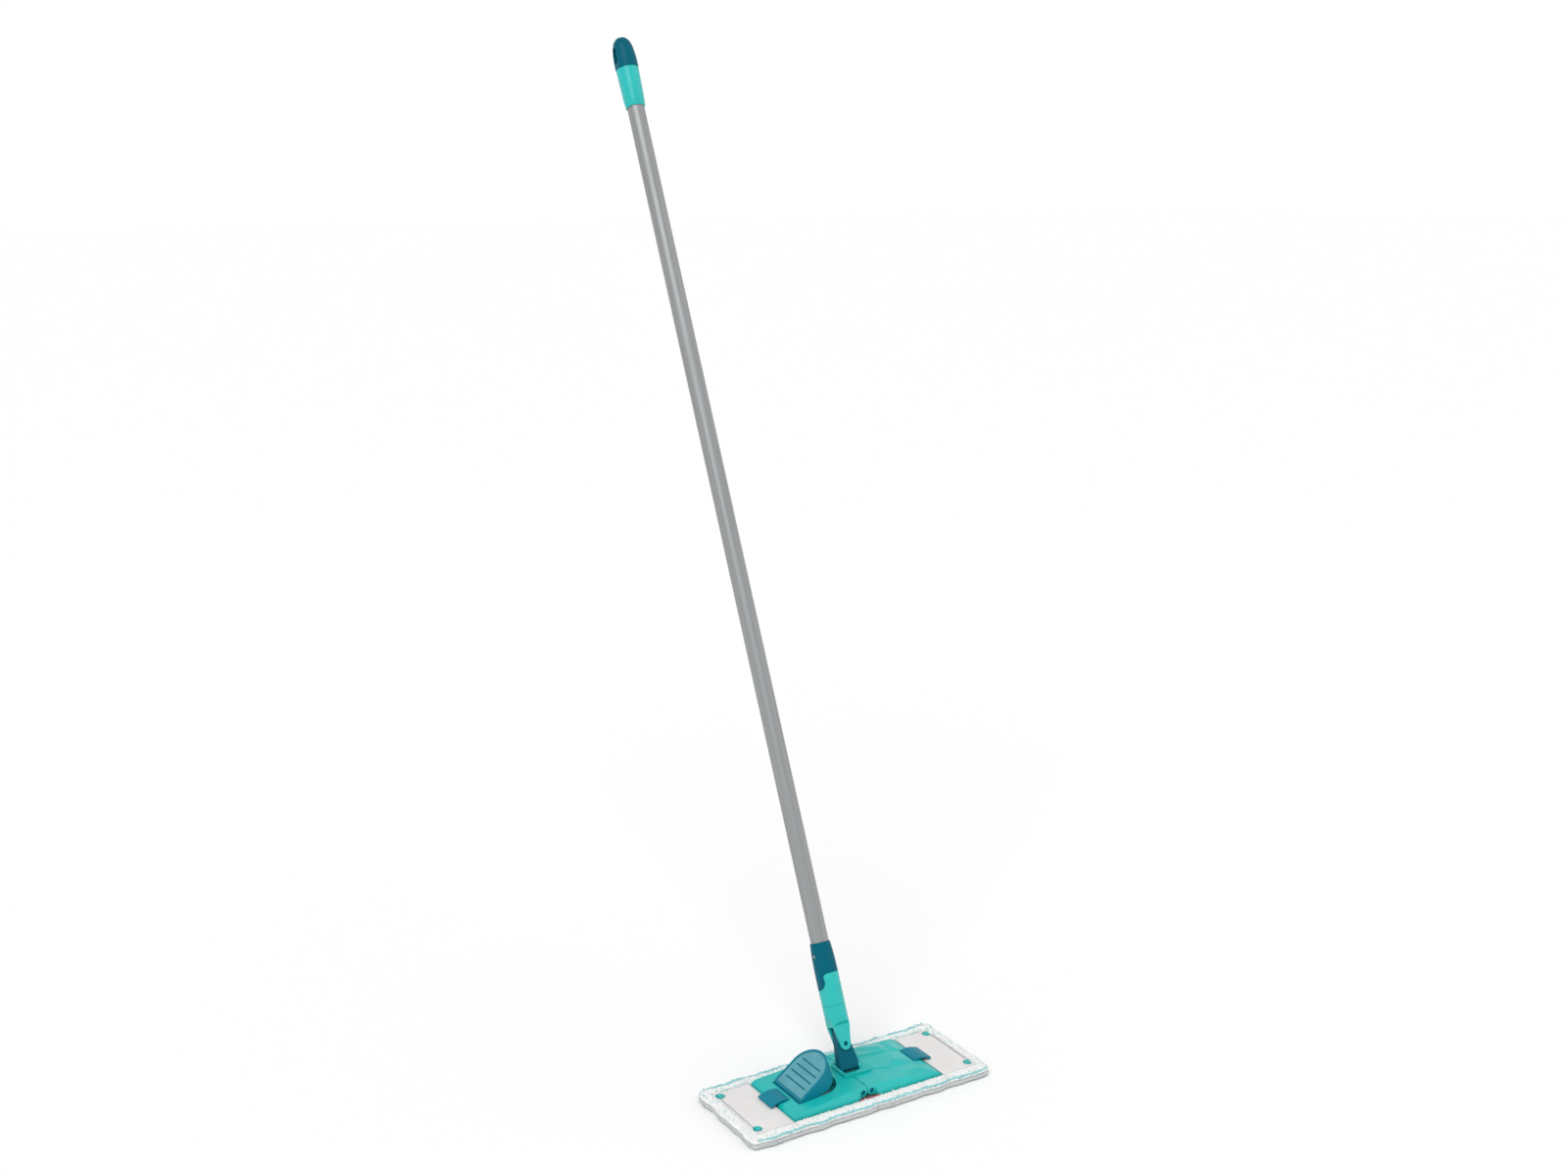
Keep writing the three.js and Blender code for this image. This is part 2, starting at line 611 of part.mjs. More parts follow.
// Room for the collar, for the lugs under the cover's skin, for the pins and the recessed knuckle
// ends, with two small notches beside the split at each end.
function hingeRoom(collarEdge) {
  const lugRoom = FOLD_PIN_X + LUG_RADIUS + 0.35;
  let room = block(-5, collarEdge, COLLAR_FRONT - COLLAR_GAP, COLLAR_BACK + COLLAR_GAP, 0, 40);
  room = room.add(middleBlock(lugRoom, KNUCKLE_START_Y, 0, FOLD_PIN_Z + LUG_RADIUS + 0.35));
  for (const end of [-1, 1]) {
    const y0 = Math.min(end * KNUCKLE_END_Y, end * 80);
    room = room.add(block(-5, 13.4, y0, y0 + 80 - KNUCKLE_END_Y, 0, 40));
    const boreStart = Math.min(end * 20, end * 60);
    const bore = rodY(FOLD_PIN_RADIUS + RUNNING_GAP, boreStart, boreStart + 40, FOLD_PIN_X, FOLD_PIN_Z);
    room = room.add(bore);
    for (const notchY of NOTCH_YS) {
      const middle = end * notchY;
      const notchStart = middle - NOTCH_HALF_WIDTH;
      const notchEnd = middle + NOTCH_HALF_WIDTH;
      room = room.add(block(-5, NOTCH_END_X, notchStart, notchEnd, COVER_TOP - NOTCH_DEPTH, 40));
    }
  }
  return room;
}

// A D-shaped outline: the straight side faces the head's end and the round side faces the middle.
function holeOutline(x, y, radius) {
  const shape = new THREE.Shape();
  shape.moveTo(x + radius * 0.55, y - radius);
  shape.lineTo(x + radius * 0.55, y + radius);
  shape.lineTo(x, y + radius);
  shape.absarc(x, y, radius, Math.PI / 2, 1.5 * Math.PI);
  shape.closePath();
  return shape;
}

const HOLE_X = 167;
const HOLE_Y = 48;
const HOLE_RADIUS = 6.4;

function withStuds(wing) {
  let result = wing;
  for (const side of [-1, 1]) {
    const outline = holeOutline(HOLE_X, side * HOLE_Y, HOLE_RADIUS - 1.2);
    result = result.add(raisedPlate(outline, TONGUE_TOP - 0.5, TONGUE_TOP + 2.4, 8));
  }
  return result;
}

function coverTopAt(x) {
  const run = (Math.abs(x) - 30) / (COVER_END - 12 - 30);
  return COVER_TOP - (COVER_TOP - COVER_END_TOP) * Math.max(0, run);
}

const SKIN_THICKNESS = 2.4;
const RIB_THICKNESS = 2;

// Cells between the ribs under a wing's cover, open below.
function underCells(xEdges, yEdges) {
  let cells = null;
  for (let i = 0; i + 1 < xEdges.length; i += 1) {
    const x0 = xEdges[i] + RIB_THICKNESS / 2;
    const x1 = xEdges[i + 1] - RIB_THICKNESS / 2;
    const roof = coverTopAt(x1) - SKIN_THICKNESS;
    for (const [y0, y1] of yEdges) {
      const cell = block(x0, x1, y0, y1, 5, roof);
      cells = cells ? cells.add(cell) : cell;
    }
  }
  return cells;
}

function rightCells() {
  const edges = [];
  for (let i = 0; i <= 4; i += 1) {
    edges.push(36 + i * 17);
  }
  return underCells(edges, [[-49, -25], [-23, -1], [1, 23], [25, 49]]);
}

const WELL_HALF_WIDTH = PEDAL_HALF_WIDTH + 1;
const WELL_FLOOR = TONGUE_TOP;

// The pedal's well, with its round end beside the collar (in the wing's own +X half).
function pedalWell() {
  const hinge = -PEDAL_PIN_X;
  const straightEnd = hinge - PEDAL_STRAIGHT;
  const roundLength = straightEnd + WELL_END_X;
  const shape = new THREE.Shape();
  shape.moveTo(hinge + 5, -WELL_HALF_WIDTH);
  shape.lineTo(hinge + 5, WELL_HALF_WIDTH);
  shape.lineTo(straightEnd, WELL_HALF_WIDTH);
  shape.absellipse(straightEnd, 0, roundLength, WELL_HALF_WIDTH, Math.PI / 2, 1.5 * Math.PI);
  shape.closePath();
  return raisedPlate(shape, WELL_FLOOR, 40, 20);
}

const LATCH_HALF_WIDTH = 4;
const LATCH_BOTTOM = WELL_FLOOR + GAP;
const LATCH_TOP = LATCH_BOTTOM + 2;

function leftCells() {
  const edges = [36, 50, 64, 78, 92];
  return underCells(edges, [[-49, -36.5], [36.5, 49]]);
}

function makeWingLeft() {
  let wing = wingSide().intersect(wingSection());
  wing = wing.subtract(hingeRoom(-BRIDGE_LEFT + 0.35));
  wing = wing.subtract(pedalWell()).subtract(leftCells());
  const hinge = -PEDAL_PIN_X;
  wing = wing.subtract(rodY(PEDAL_PIN_RADIUS + RUNNING_GAP, -38.3, 38.3, hinge, PEDAL_PIN_Z));
  const wayHalf = LATCH_HALF_WIDTH + 0.4;
  const latchWay = block(-BRIDGE_LEFT - 1, 30, -wayHalf, wayHalf, WELL_FLOOR, LATCH_TOP + GAP);
  wing = withStuds(wing.subtract(latchWay).subtract(clipSeat()));
  return namedMesh('wing_left', mirroredX(wing), TURQUOISE);
}

function makeWingRight() {
  let wing = wingSide().intersect(wingSection());
  wing = wing.subtract(hingeRoom(BRIDGE_RIGHT + COLLAR_GAP));
  wing = withStuds(wing.subtract(rightCells()).subtract(clipSeat()));
  return namedMesh('wing_right', wing, TURQUOISE);
}

// ---------- clips (built on the +X side) ----------
const CLIP_HALF_WIDTH = 16.5;
const CLIP_PIVOT_X = 101.5;
const CLIP_PIVOT_Z = 19.6;
const CLIP_OUTER_X = 126;
const CLIP_THICKNESS = 2.4;

function clipSeat() {
  const half = CLIP_HALF_WIDTH + 0.6;
  const step = block(CLIP_PIVOT_X - 3, 140, -half, half, CLIP_PIVOT_Z - 1.7, 40);
  const trough = rodY(2.6, -half, half, CLIP_PIVOT_X, CLIP_PIVOT_Z);
  return step.add(trough);
}

function makeClip(sideName, side) {
  const top = CLIP_PIVOT_Z + 1.4;
  const bottom = top - CLIP_THICKNESS;
  const blade = block(CLIP_PIVOT_X, CLIP_OUTER_X, -CLIP_HALF_WIDTH, CLIP_HALF_WIDTH, bottom, top);
  const roll = rodY(2.4, -CLIP_HALF_WIDTH, CLIP_HALF_WIDTH, CLIP_OUTER_X, top - 2.4);
  const pivot = rodY(2, -CLIP_HALF_WIDTH, CLIP_HALF_WIDTH, CLIP_PIVOT_X, CLIP_PIVOT_Z);
  const clip = blade.add(roll).add(pivot);
  return namedMesh(`clip_${sideName}`, side < 0 ? mirroredX(clip) : clip, CLIP_PETROL);
}

// ---------- pedal (its pin is the local origin; it points to +X when flat) ----------
const PEDAL_WALL = 2.2;
const PEDAL_BARREL_RADIUS = 3.4;
const PEDAL_SKIRT_DEPTH = 23;
const TREAD_THICKNESS = 1.8;
const PEDAL_RIM = 3.2;
const TREAD_BELOW_RIM = 0.5;
const SPRING_HALF_LENGTH = 3.2;
const SPRING_PLAY = 1.4;
const SPRING_RADIUS = 2.55;
const SPRING_WIRE = 0.3;
const SPRING_ROOM_RADIUS = 3.05;
const SPRING_CASE_WALL = 0.85;
const GROOVES = [[17.5, 23.4], [28, 24], [38.5, 23.4], [48.5, 21]];

function pedalOutline(inset) {
  const half = PEDAL_HALF_WIDTH - inset;
  const roundLength = PEDAL_TIP - PEDAL_STRAIGHT - inset;
  const shape = new THREE.Shape();
  shape.moveTo(PEDAL_HEEL + inset, -half);
  shape.lineTo(PEDAL_STRAIGHT, -half);
  shape.absellipse(PEDAL_STRAIGHT, 0, roundLength, half, -Math.PI / 2, Math.PI / 2);
  shape.lineTo(PEDAL_HEEL + inset, half);
  shape.closePath();
  return shape;
}

// The skirt's side view: shallow at the heel and deepest at the round end.
function skirtSide() {
  const bottom = -PEDAL_SKIRT_DEPTH;
  return profileAlongY(shapeOf([
    [-5, 10], [-5, -PEDAL_BARREL_RADIUS], [4, -PEDAL_BARREL_RADIUS],
    [PEDAL_TIP - 9, bottom], [PEDAL_TIP + 5, bottom], [PEDAL_TIP + 5, 10],
  ]), -40, 40);
}

// A prism on the pedal's outline whose walls stand upright when the pedal is down.
function pedalPrism(inset, z0, z1) {
  const slope = Math.tan(PEDAL_RAISE - PEDAL_TRAVEL);
  const geometry = geometryOf(raisedPlate(pedalOutline(inset), z0, z1, 16));
  const shear = new THREE.Matrix4().makeShear(0, 0, 0, 0, slope, 0);
  geometry.translate(0, 0, -PEDAL_TOP);
  geometry.applyMatrix4(shear);
  geometry.translate(0, 0, PEDAL_TOP);
  return solid(geometry);
}

function makePedalBody() {
  const seatBottom = PEDAL_TOP - TREAD_THICKNESS - GAP;
  const outer = pedalPrism(0, -30, PEDAL_TOP);
  const seat = raisedPlate(pedalOutline(PEDAL_RIM), seatBottom, PEDAL_TOP + 1, 16);
  const inner = pedalPrism(PEDAL_WALL, -40, seatBottom - 1.8);
  const springHalf = SPRING_HALF_LENGTH + SPRING_PLAY;
  const springBack = block(0, 5, -springHalf, springHalf, -20, 0);
  const springRoom = rodY(SPRING_ROOM_RADIUS, -springHalf, springHalf, 0, 0).add(springBack);
  const pinBore = rodY(PEDAL_PIN_RADIUS + RUNNING_GAP, -40, 40, 0, 0);
  const barrel = rodY(PEDAL_BARREL_RADIUS, -PEDAL_HALF_WIDTH, PEDAL_HALF_WIDTH, 0, 0);
  const caseHalf = springHalf + SPRING_CASE_WALL;
  const springCase = rodY(SPRING_ROOM_RADIUS + SPRING_CASE_WALL, -caseHalf, caseHalf, 0, 0);
  const shell = outer.intersect(skirtSide()).subtract(inner).subtract(seat);
  const body = shell.add(barrel).add(springCase).subtract(springRoom).subtract(pinBore);
  return namedMesh('pedal_body', body, CLIP_PETROL);
}

// The tread lies inside the body's rim, and its four grooves show the body underneath.
function makePedalTread() {
  const bottom = PEDAL_TOP - TREAD_THICKNESS;
  const top = PEDAL_TOP - TREAD_BELOW_RIM;
  let tread = raisedPlate(pedalOutline(PEDAL_RIM + GAP), bottom, top, 16);
  for (const [x, half] of GROOVES) {
    tread = tread.subtract(block(x - 1, x + 1, -half, half, bottom - 1, top + 1));
  }
  return namedMesh('pedal_tread', tread, TREAD_GREY);
}

function makePedalPin() {
  return namedMesh('pedal_pin', rodY(PEDAL_PIN_RADIUS, -38, 38, 0, 0), STEEL);
}

function makePedalSpring() {
  const spring = coil(SPRING_RADIUS, SPRING_WIRE, 4, -SPRING_HALF_LENGTH, SPRING_HALF_LENGTH, 10, 3);
  spring.rotateX(Math.PI / 2);
  return namedMesh('pedal_spring', solid(spring), STEEL);
}

function makeLatchBar() {
  const half = LATCH_HALF_WIDTH;
  const bar = block(-82, BRIDGE_LEFT - 1, -half, half, LATCH_BOTTOM, LATCH_TOP);
  const post = block(-70, -66, -half, half, LATCH_BOTTOM, LATCH_TOP + 3);
  return namedMesh('latch_bar', bar.add(post), PETROL);
}

// ---------- mop cover ----------
const POCKET_START = 118.5;
const POCKET_BOTTOM = TONGUE_TOP + 0.5;
const POCKET_TOP = POCKET_BOTTOM + 1.5;

function headOutline(x0, x1) {
  const radius = 7;
  const half = HEAD_HALF_WIDTH;
  const shape = new THREE.Shape();
  shape.moveTo(x0, -half);
  shape.lineTo(x1 - radius, -half);
  shape.absarc(x1 - radius, radius - half, radius, -Math.PI / 2, 0);
  shape.lineTo(x1, half - radius);
  shape.absarc(x1 - radius, half - radius, radius, 0, Math.PI / 2);
  shape.lineTo(x0, half);
  shape.closePath();
  return shape;
}

// One half of the sole from x0 outward, with its raised borders in front and behind.
function soleHalf(x0) {
  const sole = raisedPlate(headOutline(x0, HEAD_HALF_LENGTH), 0, SOLE_TOP, 6);
  let half = sole;
  for (const side of [-1, 1]) {
    const y0 = Math.min(side * BORDER_INNER_Y, side * HEAD_HALF_WIDTH);
    const width = HEAD_HALF_WIDTH - BORDER_INNER_Y;
    half = half.add(block(x0, POCKET_START - 0.5, y0, y0 + width, 1, BORDER_TOP - 1));
  }
  return half;
}

function makeSoles() {
  const left = mirroredX(soleHalf(-SOLE_SPLIT_X));
  const right = soleHalf(SOLE_SPLIT_X + 0.5);
  return [namedMesh('pad_left', left, PILE), namedMesh('pad_right', right, PILE)];
}

function makePocket(sideName, side) {
  const full = raisedPlate(headOutline(POCKET_START, HEAD_HALF_LENGTH), SOLE_TOP + GAP, BORDER_TOP, 6);
  const room = block(100, TONGUE_END + 0.6, -BORDER_INNER_Y, BORDER_INNER_Y, 0, POCKET_BOTTOM);
  const above = block(100, TONGUE_END - 4, -BORDER_INNER_Y, BORDER_INNER_Y, POCKET_TOP, 30);
  let pocket = full.subtract(room).subtract(above);
  for (const end of [-1, 1]) {
    const hole = holeOutline(HOLE_X, end * HOLE_Y, HOLE_RADIUS);
    pocket = pocket.subtract(raisedPlate(hole, 5, 30, 8));
  }
  return namedMesh(`pocket_${sideName}`, side < 0 ? mirroredX(pocket) : pocket, POCKET_FABRIC);
}

// ---------- assembly ----------
function makePole() {
  const pole = new THREE.Group();
  const pinY = AXLE_Y + PIN_ABOVE_AXLE * Math.sin(LEAN);
  const pinZ = AXLE_Z + PIN_ABOVE_AXLE * Math.cos(LEAN);
  pole.position.set(POLE_X, pinY, pinZ);
  pole.rotation.x = -LEAN;
  pole.add(makeTube(), makeGripSleeve(), makeGripCap(), makeClickSleeve(), makeSocketCollar());
  pole.add(makeFork(), makeReleaseButton(), makeButtonSpring(), makeTiltPin());
  return pole;
}

function makeYokeGroup() {
  const group = new THREE.Group();
  group.position.set(POLE_X, AXLE_Y, AXLE_Z);
  group.rotation.x = -LEAN;
  group.add(makeYoke(), makeYokeAxle());
  return group;
}

function makePedal() {
  const pedal = new THREE.Group();
  pedal.position.set(PEDAL_PIN_X, 0, PEDAL_PIN_Z);
  pedal.rotation.y = -PEDAL_RAISE;
  pedal.add(makePedalBody(), makePedalTread(), makePedalPin(), makePedalSpring());
  return pedal;
}

function makeHead() {
  const head = new THREE.Group();
  head.add(makeBridge(), ...makeFoldPins(), makeWingLeft(), makeWingRight());
  head.add(makeClip('left', -1), makeClip('right', 1), makePedal(), makeLatchBar());
  head.add(...makeSoles(), makePocket('left', -1), makePocket('right', 1));
  return head;
}

const mop = new THREE.Group();
mop.add(makePole(), makeYokeGroup(), makeHead());

export default mop;
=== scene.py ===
"""The looks of a flat mop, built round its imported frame.

Metres, in the frame's own axes: the origin is the middle of the sole, +X runs along the head,
+Y points to the back, towards which the pole leans, and +Z points up.
"""
import json
import math
from itertools import product

import bmesh
import bpy
import numpy as np
from mathutils import Matrix, Vector
from mathutils.geometry import delaunay_2d_cdt


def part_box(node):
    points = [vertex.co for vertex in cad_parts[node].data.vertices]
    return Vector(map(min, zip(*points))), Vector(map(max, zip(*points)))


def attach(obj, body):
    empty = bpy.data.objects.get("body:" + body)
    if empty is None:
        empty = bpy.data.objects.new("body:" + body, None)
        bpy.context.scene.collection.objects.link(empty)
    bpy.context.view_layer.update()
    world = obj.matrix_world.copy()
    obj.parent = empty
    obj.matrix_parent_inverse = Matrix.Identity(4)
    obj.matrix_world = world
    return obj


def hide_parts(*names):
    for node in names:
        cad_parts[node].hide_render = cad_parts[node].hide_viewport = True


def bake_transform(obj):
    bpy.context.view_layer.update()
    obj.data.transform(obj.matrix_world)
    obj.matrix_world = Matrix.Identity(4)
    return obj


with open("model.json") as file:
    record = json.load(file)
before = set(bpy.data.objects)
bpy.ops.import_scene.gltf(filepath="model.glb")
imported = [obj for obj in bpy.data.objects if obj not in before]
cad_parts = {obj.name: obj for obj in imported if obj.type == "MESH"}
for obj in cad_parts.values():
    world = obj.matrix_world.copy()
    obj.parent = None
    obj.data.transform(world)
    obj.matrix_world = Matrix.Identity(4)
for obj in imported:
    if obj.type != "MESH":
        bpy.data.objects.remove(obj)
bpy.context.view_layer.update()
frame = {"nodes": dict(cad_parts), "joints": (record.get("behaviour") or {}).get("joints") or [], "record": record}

MM = 0.001
JOINTS = {joint["name"]: joint for joint in frame["joints"]}
BODIES = frame["record"]["behaviour"]["bodies"]
BODY_OF = {node: body for body, nodes in BODIES.items() for node in nodes}
SLOT_OF = {part["node"]: part["material_slot"] for part in frame["record"]["subparts"]}

# ---------- driving places, from the frame ----------
AXLE = Vector(JOINTS["handle_lean"]["pos_m"])
TILT_PIN = Vector(JOINTS["handle_tilt"]["pos_m"])
POLE_AXIS = (TILT_PIN - AXLE).normalized()
LEAN = math.atan2(POLE_AXIS.y, POLE_AXIS.z)
POCKET_LOW, POCKET_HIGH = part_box("pocket_right")
POCKET_START = POCKET_LOW.x
SOLE_TOP = POCKET_LOW.z
HEAD_END, HEAD_SIDE, BORDER_TOP = POCKET_HIGH
COVER_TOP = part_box("wing_right")[1].z

SEED = 7


# ---------- materials ----------
def linear(red, green, blue):
    """An sRGB colour, 0 to 255, as the linear colour that a shader takes."""
    def channel(value):
        share = value / 255
        return share / 12.92 if share <= 0.04045 else ((share + 0.055) / 1.055) ** 2.4
    return (channel(red), channel(green), channel(blue), 1.0)


class Look:
    """A material with its shader, and short calls that add procedural detail to it."""

    def __init__(self, name, colour, roughness, metallic=0.0, specular=0.5):
        self.material = bpy.data.materials.new(f"{name}_look")
        self.material.use_nodes = True
        self.tree = self.material.node_tree
        self.shader = self.tree.nodes["Principled BSDF"]
        self.shader.inputs["Base Color"].default_value = colour
        self.shader.inputs["Roughness"].default_value = roughness
        self.shader.inputs["Metallic"].default_value = metallic
        self.shader.inputs["Specular IOR Level"].default_value = specular
        self.material.diffuse_color = colour
        self.colour = colour
        self.places = self.node("ShaderNodeTexCoord").outputs["Object"]

    def node(self, kind, **inputs):
        """A new node, with the values of some of its inputs."""
        made = self.tree.nodes.new(kind)
        for name, value in inputs.items():
            made.inputs[name].default_value = value
        return made

    def link(self, source, target):
        self.tree.links.new(source, target)

    def stretched(self, scale, turn=(0, 0, 0)):
        """Places turned by `turn` radians and then stretched, for grain that runs one way."""
        mapping = self.node("ShaderNodeMapping")
        mapping.vector_type = "TEXTURE"
        mapping.inputs["Rotation"].default_value = turn
        mapping.inputs["Scale"].default_value = scale
        self.link(self.places, mapping.inputs["Vector"])
        return mapping.outputs["Vector"]

    def noise(self, per_metre, detail=2.0, places=None):
        made = self.node("ShaderNodeTexNoise", Scale=per_metre, Detail=detail)
        self.link(places or self.places, made.inputs["Vector"])
        return made.outputs["Fac"]

    def cells(self, per_metre):
        made = self.node("ShaderNodeTexVoronoi", Scale=per_metre)
        self.link(self.places, made.inputs["Vector"])
        return made.outputs["Distance"]

    def remap(self, value, low, high, from_low=0.3, from_high=0.7):
        """A value between `from_low` and `from_high`, spread out from `low` to `high`."""
        made = self.node("ShaderNodeMapRange")
        made.inputs["From Min"].default_value = from_low
        made.inputs["From Max"].default_value = from_high
        made.inputs["To Min"].default_value = low
        made.inputs["To Max"].default_value = high
        self.link(value, made.inputs["Value"])
        return made.outputs["Result"]

    def maths(self, operation, first, second):
        made = self.node("ShaderNodeMath")
        made.operation = operation
        self.link(first, made.inputs[0])
        self.link(second, made.inputs[1])
        return made.outputs[0]

    def mixed(self, factor, first, second):
        """Two plain colours, blended by a factor from 0 to 1."""
        made = self.node("ShaderNodeMix")
        made.data_type = "RGBA"
        self.link(factor, made.inputs["Factor"])
        for name, colour in (("A", first), ("B", second)):
            socket = [s for s in made.inputs if s.name == name and s.type == "RGBA"][0]
            socket.default_value = colour
        return [s for s in made.outputs if s.type == "RGBA"][0]

    def tinted(self, amount):
        """The look's own colour, lightened (or darkened, below 1) by `amount`."""
        return tuple(min(1.0, c * amount) for c in self.colour[:3]) + (1.0,)

    def paint(self, colour):
        self.link(colour, self.shader.inputs["Base Color"])

    def vary_roughness(self, value):
        self.link(value, self.shader.inputs["Roughness"])

    def sheen(self, weight):
        self.shader.inputs["Sheen Weight"].default_value = weight

    def bump(self, height, depth, strength):
        made = self.node("ShaderNodeBump", Strength=strength, Distance=depth)
        self.link(height, made.inputs["Height"])
        self.link(made.outputs["Normal"], self.shader.inputs["Normal"])


def moulded_plastic(name, colour, roughness, specular):
    """Injection-moulded plastic: faint flow clouds, a fine skin and small handling scuffs."""
    look = Look(name, colour, roughness, specular=specular)
    clouds = look.noise(22, detail=3)
    look.paint(look.mixed(look.remap(clouds, 0, 1), look.tinted(0.93), look.tinted(1.06)))
    scuffs = look.noise(1, detail=4, places=look.stretched((0.02, 0.003, 0.02), (0, 0, 0.6)))
    cloudy = look.remap(look.noise(70), roughness - 0.04, roughness + 0.05)
    scuffed = look.remap(scuffs, 0.0, 0.12, 0.58, 0.72)
    look.vary_roughness(look.maths("ADD", cloudy, scuffed))
    look.bump(look.noise(2600, detail=1), 0.02 * MM, 0.5)
    return look.material


def tread_plastic():
    """Soft grey-blue plastic with a fine pebbled grain and a rubbed, lighter wear cloud."""
    look = Look("tread_plastic", linear(92, 157, 170), 0.55, specular=0.2)
    worn = look.remap(look.noise(34, detail=4), 0, 1, 0.42, 0.72)
    look.paint(look.mixed(worn, look.tinted(0.9), look.tinted(1.12)))
    look.vary_roughness(look.remap(look.noise(120), 0.5, 0.68))
    look.bump(look.cells(1400), 0.05 * MM, 0.6)
    return look.material


def drawn_tube():
    """Satin drawn tube: long fine lines along the pole and soft clouds of sheen."""
    look = Look("pole_metal", linear(156, 158, 159), 0.45, metallic=0.75, specular=0.3)
    along = look.stretched((0.0012, 0.0012, 0.35), (-LEAN, 0, 0))
    lines = look.noise(1, detail=3, places=along)
    look.paint(look.mixed(look.remap(lines, 0, 1), look.tinted(0.86), look.tinted(1.06)))
    look.vary_roughness(look.remap(look.noise(9, detail=3), 0.4, 0.54))
    look.bump(lines, 0.02 * MM, 0.35)
    return look.material


def bright_steel():
    """Plain steel wire and pins with fine turned lines."""
    look = Look("steel", linear(176, 178, 180), 0.28, metallic=1.0)
    lines = look.noise(1, detail=2, places=look.stretched((0.02, 0.0004, 0.0004)))
    look.paint(look.mixed(look.remap(lines, 0, 1), look.tinted(0.8), look.tinted(1.0)))
    look.vary_roughness(look.remap(look.noise(300), 0.22, 0.36))
    look.bump(lines, 0.01 * MM, 0.3)
    return look.material


def yarn(name, colour, shadow):
    """Looped microfibre yarn: matt, with fine twisted fibres and shaded gaps."""
    look = Look(name, colour, 0.95, specular=0.1)
    look.sheen(0.35)
    fibres = look.noise(900, detail=3)
    clumps = look.noise(160, detail=2)
    shade = look.maths("MULTIPLY", look.remap(fibres, 0.55, 1.0), look.remap(clumps, 0.7, 1.0))
    look.paint(look.mixed(shade, shadow, colour))
    look.vary_roughness(look.remap(fibres, 0.88, 1.0))
    look.bump(fibres, 0.35 * MM, 0.8)
    return look.material


def pocket_weave():
    """Smooth, close-woven light grey fabric."""
    look = Look("pocket_fabric", linear(226, 223, 222), 0.8, specular=0.15)
    look.sheen(0.2)
    weave = []
    for direction in ("X", "Y"):
        wave = look.node("ShaderNodeTexWave", Scale=520.0, Distortion=0.6)
        wave.bands_direction = direction
        look.link(look.places, wave.inputs["Vector"])
        weave.append(wave.outputs["Fac"])
    crossed = look.maths("MULTIPLY", weave[0], weave[1])
    soft = look.remap(look.noise(26, detail=3), 0, 1)
    look.paint(look.mixed(soft, look.tinted(0.95), look.tinted(1.03)))
    look.vary_roughness(look.remap(look.noise(200), 0.72, 0.88))
    look.bump(crossed, 0.08 * MM, 0.5)
    return look.material


def ribbon():
    """A plain red ribbed ribbon."""
    look = Look("red_ribbon", linear(196, 62, 70), 0.7, specular=0.2)
    ribs = look.node("ShaderNodeTexWave", Scale=260.0, Distortion=0.3)
    look.link(look.places, ribs.inputs["Vector"])
    look.paint(look.mixed(ribs.outputs["Fac"], look.tinted(0.8), look.tinted(1.05)))
    look.vary_roughness(look.remap(look.noise(400), 0.6, 0.8))
    look.bump(ribs.outputs["Fac"], 0.1 * MM, 0.6)
    return look.material


LOOKS = {
    "turquoise_plastic": moulded_plastic("turquoise_plastic", linear(20, 180, 176), 0.32, specular=0.5),
    "petrol_plastic": moulded_plastic("petrol_plastic", linear(0, 92, 110), 0.34, specular=0.08),
    "clip_plastic": moulded_plastic("clip_plastic", linear(2, 122, 143), 0.38, specular=0.2),
    "tread_plastic": tread_plastic(),
    "pole_metal": drawn_tube(),
    "steel": bright_steel(),
    "pile": yarn("white_pile", linear(247, 247, 245), linear(216, 219, 219)),
    "aqua_pile": yarn("aqua_pile", linear(158, 219, 221), linear(124, 198, 203)),
    # The sole's yarn: the white pile's yarn made greyer, as painted shade on the sole's lower wall.
    "shaded_sole_pile": yarn("shaded_sole_pile", linear(206, 209, 209), linear(166, 171, 173)),
    "pocket_fabric": pocket_weave(),
    "red_ribbon": ribbon(),
    # Dark grey for the line where the pocket's hem folds: painted shadow of the fold's step.
    "fold_shadow_grey": moulded_plastic("fold_shadow_grey", linear(128, 132, 134), 0.8, specular=0.1),
}


# ---------- mesh helpers ----------
SAME_PLACE = 0.0001 * MM


def placed(name, data):
    """A new object in the scene."""
    made = bpy.data.objects.new(name, data)
    bpy.context.scene.collection.objects.link(made)
    return made


def new_piece(name, body, slot, mesh, look=None):
    """A new object that rides on a body and takes its finish from a slot of the record."""
    piece = placed(name, mesh)
    if not mesh.materials:
        mesh.materials.append(LOOKS[look or slot])
    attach(piece, body)
    return piece


def mesh_of(name, bm, smooth=True):
    """The mesh of a bmesh, which is freed."""
    mesh = bpy.data.meshes.new(name)
    bm.to_mesh(mesh)
    bm.free()
    mesh.polygons.foreach_set("use_smooth", [smooth] * len(mesh.polygons))
    return mesh


def lofted(strips):
    """A bmesh of closed bars, one for each strip, which holds the bar's sections from end to end."""
    bm = bmesh.new()
    for strip in strips:
        rings = [[bm.verts.new(point) for point in section] for section in strip]
        for near, far in zip(rings, rings[1:]):
            for k in range(len(near)):
                after = (k + 1) % len(near)
                bm.faces.new((near[k], near[after], far[after], far[k]))
        bm.faces.new(rings[0][::-1])
        bm.faces.new(rings[-1])
    bmesh.ops.recalc_face_normals(bm, faces=bm.faces)
    return bm


def arc(centre, radius, start, stop, steps):
    """Points on an arc between two angles in degrees."""
    angles = [math.radians(start + (stop - start) * i / steps) for i in range(steps + 1)]
    return [(centre[0] + radius * math.cos(a), centre[1] + radius * math.sin(a)) for a in angles]


